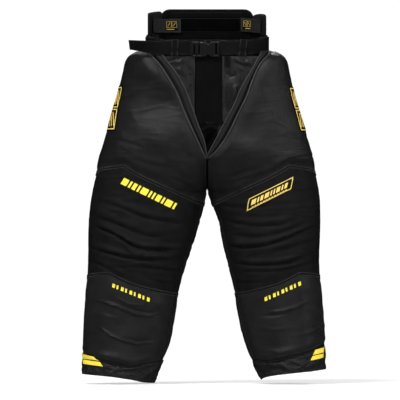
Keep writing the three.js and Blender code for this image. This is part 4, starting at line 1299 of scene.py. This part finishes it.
for side, sign in SIGN.items():
    level, points, tilt = TABS[side]
    line = smooth_path(points, 60)
    along = unit(np.gradient(line, axis=0))
    v = in_column(1, -1, 25)
    x = sign * line[:, 0][None, :] + 0 * v
    y = line[:, 1][None, :] + 0 * v
    s = in_row(0, 1, 60)
    z = level + v * (20.2 - 0.8 * s) + tilt * (6 * s - 3)
    grid = np.stack([x, y, z], -1)
    n = np.stack([-along[:, 1] * sign, along[:, 0], 0 * along[:, 0]], -1)
    n = np.where(n[:, 1:2] > 0, -n, n)[None] + 0 * grid
    raised = 0.55 * (1 - bell((np.abs(v) - 0.86) / 0.035)) * (1 - bell((s - 0.95) / 0.02))
    outer = grid + n * (2.0 + raised - 0.5)[..., None]
    tab = piece("tab_" + side, sheet_part(outer, grid, wear=5), TAB)
    settle(tab, "tab_" + side, "tab_fabric", ["waist_tab_" + side])
    as_sheet(tab, outer)
    rows_of = []
    for a, b in (((0.03, 0.07), (0.97, 0.07)), ((0.97, 0.07), (0.97, 0.93)), ((0.97, 0.93), (0.03, 0.93)),
                 ((0.04, 0.1), (0.04, 0.9)), ((0.26, 0.1), (0.26, 0.9)), ((0.04, 0.1), (0.26, 0.9)),
                 ((0.04, 0.9), (0.26, 0.1))):
        t = np.linspace(0, 1, 60)
        uu, vv = mix(a[0], b[0], t), mix(a[1], b[1], t)
        rows_of.append(stitch_part(*lifted(outer, n, uu, vv, 0.2), 2.8, 2.0))
    settle(piece("tab_stitching_" + side, rows_of, THREAD), "tab_" + side, "tab_fabric")
    hook = grid[3:-3, 38:58]
    m = n[3:-3, 38:58]
    bristle = rough_field(hook, (1.6, 1.6, 1.6), 1, 2.0) * 0.2
    bristles = sheet_part(hook - m * (1.2 + bristle)[..., None], hook - m * 0.25, wear=2)
    hooks = piece("tab_hooks_" + side, bristles, PILE)
    settle(hooks, "tab_" + side, "loop_pile", ["tab_hook_patch_" + side])
    as_sheet(hooks, hook)
    uu, vv = np.meshgrid(np.linspace(0.5, 0.9, 20), np.linspace(0.15, 0.85, 12))
    patch, m = sample(outer, uu, vv), sample(n, uu, vv)
    label = piece("tab_badge_" + side, sheet_part(patch + m * 0.9, patch + m * 0.1, wear=2), LABEL)
    settle(label, "tab_" + side, "label", ["tab_label_" + side])
    as_sheet(label, patch)

    def ink_line(a, b, radius, flat, count=10):
        k = np.linspace(0, 1, count)
        path, _ = lifted(outer, n, mix(a[0], b[0], k), mix(a[1], b[1], k), 1.0)
        return tube_part(path, radius, 6, flat, (0, -1, 0.05))

    lines = []
    for (u0, v0), (u1, v1) in (((0.53, 0.2), (0.69, 0.62)), ((0.715, 0.2), (0.875, 0.62))):
        frame_points = [(u0, v0), (u1, v0), (u1, v1), (u0, v1), (u0, v0)]
        lines += [ink_line(a, b, 0.3, 0.6) for a, b in zip(frame_points, frame_points[1:])]
        lines.append(ink_line((u0 + 0.04, v1 - 0.08), (u1 - 0.04, v0 + 0.08), 0.5, 0.5))
    lines.append(ink_line((0.53, 0.76), (0.8, 0.76), 0.6, 0.4, 12))
    settle(piece("tab_print_" + side, lines, GOLD), "tab_" + side, "label")


# ---- small pieces on the front ----
INWARD, OUTSIDE = Vector((0, 1, 0)), -400.0


def first_hit(trees, origin, direction, *reach):
    """The nearest point, in millimetres, and normal where a line meets the pieces in trees, if any."""
    hits = [t.ray_cast(origin, direction, *reach) for t in trees]
    hits = [h for h in hits if h[0] is not None]
    if not hits:
        return None
    best = min(hits, key=lambda h: h[3])
    return np.array(best[0]) / MM, np.array(best[1])


def dropped(trees, xs, zs):
    """Points and normals where lines from the front first meet the pieces in trees."""
    points, normals = np.zeros(xs.shape + (3,)), np.zeros(xs.shape + (3,))
    for index in np.ndindex(xs.shape):
        origin = Vector((xs[index], 0, zs[index])) * MM + INWARD * OUTSIDE * MM
        met = first_hit(trees, origin, INWARD)
        points[index], normals[index] = met or (front(xs[index], zs[index]), (0, -1, 0))
    return points, normals


def quad_grid(corners, columns, rows):
    """x and z over a four-sided outline: top left, top right, bottom right, bottom left."""
    u, v = np.meshgrid(np.linspace(0, 1, columns), np.linspace(0, 1, rows))
    a, b, c, d = (np.array(p, float) for p in corners)
    spots = mix(mix(a, b, u[..., None]), mix(d, c, u[..., None]), v[..., None])
    return spots[..., 0], spots[..., 1]


def tree_of(*objects):
    return [BVHTree.FromPolygons([v.co[:] for v in o.data.vertices], [p.vertices[:] for p in o.data.polygons])
            for o in objects]


def front_patch(name, node, under, corners, lift, thickness, columns, rows, material, slot):
    """A small sheet that lies on a piece of the front: corners are (x, z), clockwise from the top left."""
    x, z = quad_grid(corners, columns, rows)
    points, n = dropped(tree_of(GRIDS[under][2]), x, z)
    outer = points + n * lift
    made = piece(name, sheet_part(outer, outer - n * thickness, wear=1.5), material)
    settle(made, "pelvis", slot, [node])
    as_sheet(made, outer)
    return made


placket = front_patch("snap_strip", "snap_placket", "front_satin_left",
                      [(-54, -50), (-41, -50), (-41, -118), (-54, -118)], 1.8, 2.4, 8, 24,
                      SATIN, "satin_nylon")
for name, z0, node in (("snap_stud_upper", -75, "snap_upper"), ("snap_stud_lower", -107, "snap_lower")):
    spot, normal = dropped(tree_of(placket), np.array([-47.5]), np.array([float(z0)]))
    ring = np.linspace(0, 2 * math.pi, 24, endpoint=False)
    profile = [(4.8, -0.6), (4.9, 0.6), (4.2, 1.3), (3.0, 1.35), (2.6, 0.95), (1.2, 0.9), (0.3, 1.0)]
    c = spot[0] + np.array([0, -0.2, 0])
    grid = np.stack([[c + [r * math.cos(t), -h, r * math.sin(t)] for t in ring] for r, h in profile])
    back = np.stack([[c + [r * math.cos(t), 1.0, r * math.sin(t)] for t in ring] for r, h in profile])
    stud = piece(name, sheet_part(grid, back, wraps=True, wear=2), METAL_SNAP, 60)
    settle(stud, "pelvis", "buckle_plastic", [node])
front_patch("hanger_loop", "hanging_loop", "front_satin_right",
            [(50, -24), (67, -24), (66, -55), (51, -55)], 3.2, 2.6, 8, 14, WEBBING, "webbing")
front_patch("fly_pull", "fly_zip_pull", "front_satin_right",
            [(56, -148), (66, -148), (62, -195), (55, -195)], 2.6, 2.4, 6, 24, SATIN, "satin_nylon")

# ---- prints: plain bars, frames and stripes ----
def on_leg(side, trees, around, z):
    """Points and normals of the pieces in trees, seen straight on from outside the leg."""
    base = skin(side, around, z)
    n = unit(base - core(side, z)) * [1, 1, 0]
    points, normals = base + n * 4, n.copy()
    for index in np.ndindex(around.shape):
        origin = Vector((base[index] + n[index] * 60) * MM)
        met = first_hit(trees, origin, Vector(-n[index]), 0.09)
        if met:
            points[index], normals[index] = met
    rise = np.sum((points - base) * n, -1)
    rise = spread(rise, np.max) if min(rise.shape) > 2 else rise
    rise = spread(rise, np.mean) if min(rise.shape) > 2 else rise
    return base + n * rise[..., None], unit(normals + n)


def spread(values, take):
    """Each value replaced by one taken from those around it."""
    wide = np.pad(values, 1, mode="edge")
    rows, columns = values.shape
    return take([wide[i:i + rows, j:j + columns] for i in range(3) for j in range(3)], axis=0)


QUARTER = 190  # millimetres round a leg for each 1 of around


def leg_print(name, side, targets, shapes, material, place, lift=0.6, cell=3.6):
    """Thin raised four-sided shapes on a leg: corners are (x, z), or (around, z) where x is under 5."""
    trees, parts = tree_of(*targets), []
    for corners in shapes:
        corners = [np.array(p, float) for p in corners]
        size = QUARTER if abs(corners[0][0]) < 5 else 1
        wide = max(np.linalg.norm((corners[1] - corners[0]) * [size, 1]), 1)
        tall = max(np.linalg.norm((corners[3] - corners[0]) * [size, 1]), 1)
        x, z = quad_grid(corners, max(3, int(wide / cell) + 2), max(3, int(tall / cell) + 2))
        around = x if size > 1 else around_at(side, np.abs(x), z)
        points, normals = on_leg(side, trees, around, z)
        outer = points + normals * lift
        parts.append(sheet_part(outer, outer - normals * 1.2, wear=1.5))
    return settle(piece(name, parts, material), place, "label")


def outline(corners, width):
    """The four bars that outline a four-sided shape, corners clockwise from the top left."""
    a, b, c, d = (np.array(p, float) for p in corners)
    across, down = unit(b - a) * width, unit(d - a) * width
    return [
        [a, b, b + down, a + down],
        [d - down, c - down, c, d],
        [a + down, a + down + across, d - down + across, d - down],
        [b + down - across, b + down, c - down, c - down - across],
    ]


def slanted(origin, along, lean, start, wide, tall):
    """A leaning four-sided cell on a slanted base line."""
    along, lean = unit(np.array(along, float)), np.array(lean, float)
    p = np.array(origin, float) + along * start
    return [p + lean * tall, p + lean * tall + along * wide, p + along * wide, p]


knees = {s: GRIDS["knee_front_" + s][2] for s in SIGN}
shins = {s: GRIDS["shin_guard_" + s][2] for s in SIGN}
cuffs = {s: GRIDS["cuff_" + s][2] for s in SIGN}
pads = {s: GRIDS["thigh_pad_" + s][2] for s in SIGN}

# left knee: a row of slanted bars
origin, along, lean = (-249, -391), (155, -75), (0.62, 1.0)
shapes, start = [], 0.0
for wide in (17, 6, 11, 6, 20, 6, 6, 14, 6, 20, 6):
    shapes.append(slanted(origin, along, lean, start, wide, 17))
    start += wide + 5.2
leg_print("knee_bars_left", "left", [knees["left"]], shapes, YELLOW, knee_bend("left"))

# right knee: a framed badge
badge = [(121, -434), (249, -371), (242, -406), (114, -470)]
shapes, start = outline(badge, 2.6), 8.0
for wide in (14, 5, 9, 14, 5, 5, 12, 5, 9):
    shapes.append(slanted((120, -457), (128, 64), (0.2, 1.0), start, wide, 15))
    start += wide + 4.6
shapes += [slanted((120, -464), (128, 64), (0.2, 1.0), k * 9.0, 6.0, 2.6) for k in range(1, 14)]
leg_print("knee_badge_right", "right", [knees["right"]], shapes, GOLD, knee_bend("right"))

CUFF_STRIPES = {
    "left": [[(2.3, -876), (2.0, -882), (2.0, -896), (2.3, -889)],
             [(2.3, -893), (2.0, -899), (2.0, -911), (2.3, -904)],
             [(-358, -882), (-326, -890), (-312, -901), (-358, -896)],
             [(-358, -899), (-310, -905), (-300, -918), (-358, -911)]],
    "right": [[(2.0, -864), (2.3, -858), (2.3, -871), (2.0, -878)],
              [(2.0, -881), (2.3, -875), (2.3, -886), (2.0, -893)],
              [(313, -870), (337, -864), (337, -878), (305, -885)],
              [(305, -888), (337, -881), (337, -893), (299, -901)]],
}
for side, sign in SIGN.items():
    if side == "left":
        origin, along = (-272, -689), (110, -45)
    else:
        origin, along = (168, -730), (104, 48)
    shapes = [slanted(origin, along, (0.15 * -sign, 1.0), k * 13.0, 8.0 - 3 * (k % 2), 11) for k in range(9)]
    leg_print("shin_marks_" + side, side, [shins[side]], shapes, YELLOW, side + "_shin")
    targets = [cuffs[side], shins[side], bpy.data.objects["calf_" + side]]
    leg_print("cuff_stripes_" + side, side, targets, CUFF_STRIPES[side], STRIPE, side + "_shin", 1.4)

    # the label on the outside of the thigh: two framed cells, one over the other
    top, bottom = (-108, -238) if side == "left" else (-111, -241)
    front_x = spline([(-240, 260), (-110, 237)]) if side == "left" else spline([(-241, 262), (-111, 229)])

    def edge(z, extra=0.0):
        return float(around_at(side, front_x(z), z)) + extra / QUARTER

    def cell_of(z0, z1, near, far):
        return [(edge(z0, near), z0), (edge(z0, far), z0), (edge(z1, far), z1), (edge(z1, near), z1)]

    targets = [pads[side], bpy.data.objects["seat_back_" + side]]
    leg_print("side_label_" + side, side, targets, [cell_of(top, bottom, 0, 58)], LABEL, hip_bend(side), 0.7)
    shapes = []
    middle = (top + bottom) / 2
    for z0, z1 in ((top - 4, middle + 2), (middle - 2, bottom + 4)):
        a, b, c, d = (np.array(p) for p in cell_of(z0, z1, 4, 54))
        wide, tall = (b - a) * 3 / 50, np.array([0, 3.0])
        shapes += [[a, b, b - tall, a - tall], [d + tall, c + tall, c, d], [a, a + wide, d + wide, d],
                   [b - wide, b, c, c - wide]]
        for low in (0.08, 0.32, 0.56):
            p, q = mix(a, b, low + 0.22) - tall * 3, mix(d, c, low) + tall * 3
            shapes.append([p, p + wide, q + wide, q])
    leg_print("side_label_print_" + side, side, [bpy.data.objects["side_label_" + side]], shapes, GOLD,
              hip_bend(side), 0.5, 5.0)

# ---- camera, floor and light ----
scene = bpy.context.scene
scene.view_settings.view_transform = "Standard"
DISTANCE = 28.0
FIELD = 1.156
VIEW_CENTRE = (-0.0203, -0.4379)
camera = bpy.data.objects.new("camera", bpy.data.cameras.new("camera"))
camera.data.sensor_width = 36.0
camera.data.lens = camera.data.sensor_width * DISTANCE / FIELD
camera.location = (VIEW_CENTRE[0], -DISTANCE, VIEW_CENTRE[1])
camera.rotation_euler = (math.pi / 2, 0, 0)
camera.data.clip_end = 200
scene.collection.objects.link(camera)
scene.camera = camera


def area_light(name, at, aim, size, power):
    light = bpy.data.lights.new(name, "AREA")
    light.shape = "RECTANGLE"
    light.size, light.size_y = size
    light.energy = power
    made = bpy.data.objects.new(name, light)
    made.location = at
    made.rotation_euler = (Vector(at) - Vector(aim)).to_track_quat("Z", "Y").to_euler()
    made.visible_camera = False
    scene.collection.objects.link(made)


area_light("key", (-1.2, -2.1, 3.0), (0, 0, -0.5), (1.6, 0.5), 158)
area_light("fill", (0.5, -3.0, 0.75), (0, 0, -0.45), (2.6, 0.25), 26)
area_light("side", (2.4, -1.0, 1.0), (0.2, 0, -0.3), (0.6, 0.6), 26)
area_light("back", (0.4, 2.8, 1.9), (0, 0, -0.3), (2.2, 0.6), 45)

world = bpy.data.worlds.new("studio")
scene.world = world
world.use_nodes = True
g = Graph(world)
background = world.node_tree.nodes["Background"]
split = g.node("SeparateXYZ", {0: g.node("TexCoord").outputs["Generated"]})
g.link(g.span(g.math("ABSOLUTE", split.outputs[2]), 0.035, 0.06, 1.05, 0.05), background.inputs["Strength"])
background.inputs["Color"].default_value = (1, 1, 1, 1)

floor_mesh = bpy.data.meshes.new("floor")
FLOOR_REACH, FLOOR_HEIGHT = 60.0, -0.97
corners = [(x * FLOOR_REACH, y * FLOOR_REACH, 0) for x, y in ((-1, -1), (1, -1), (1, 1), (-1, 1))]
floor_mesh.from_pydata(corners, [], [(0, 1, 2, 3)])
floor = bpy.data.objects.new("floor", floor_mesh)
floor.location = (0, 0, FLOOR_HEIGHT)
scene.collection.objects.link(floor)
pale, bsdf = shader("pale_glowing_floor", 0.9, 0.0)
bsdf.inputs["Base Color"].default_value = (0.7, 0.7, 0.7, 1)
bsdf.inputs["Emission Color"].default_value = (1, 1, 1, 1)
g = Graph(pale)
# the floor glows: painted light, from 0.48 near the middle to 1.0 from 6 m out
away = g.node("VectorMath", {0: g.node("TexCoord").outputs["Object"]}, operation="LENGTH").outputs["Value"]
g.link(g.span(away, 0.6, 6.0, 0.48, 1.0), bsdf.inputs["Emission Strength"])
floor_mesh.materials.append(pale)
floor.visible_glossy = False
world.cycles_visibility.glossy = False
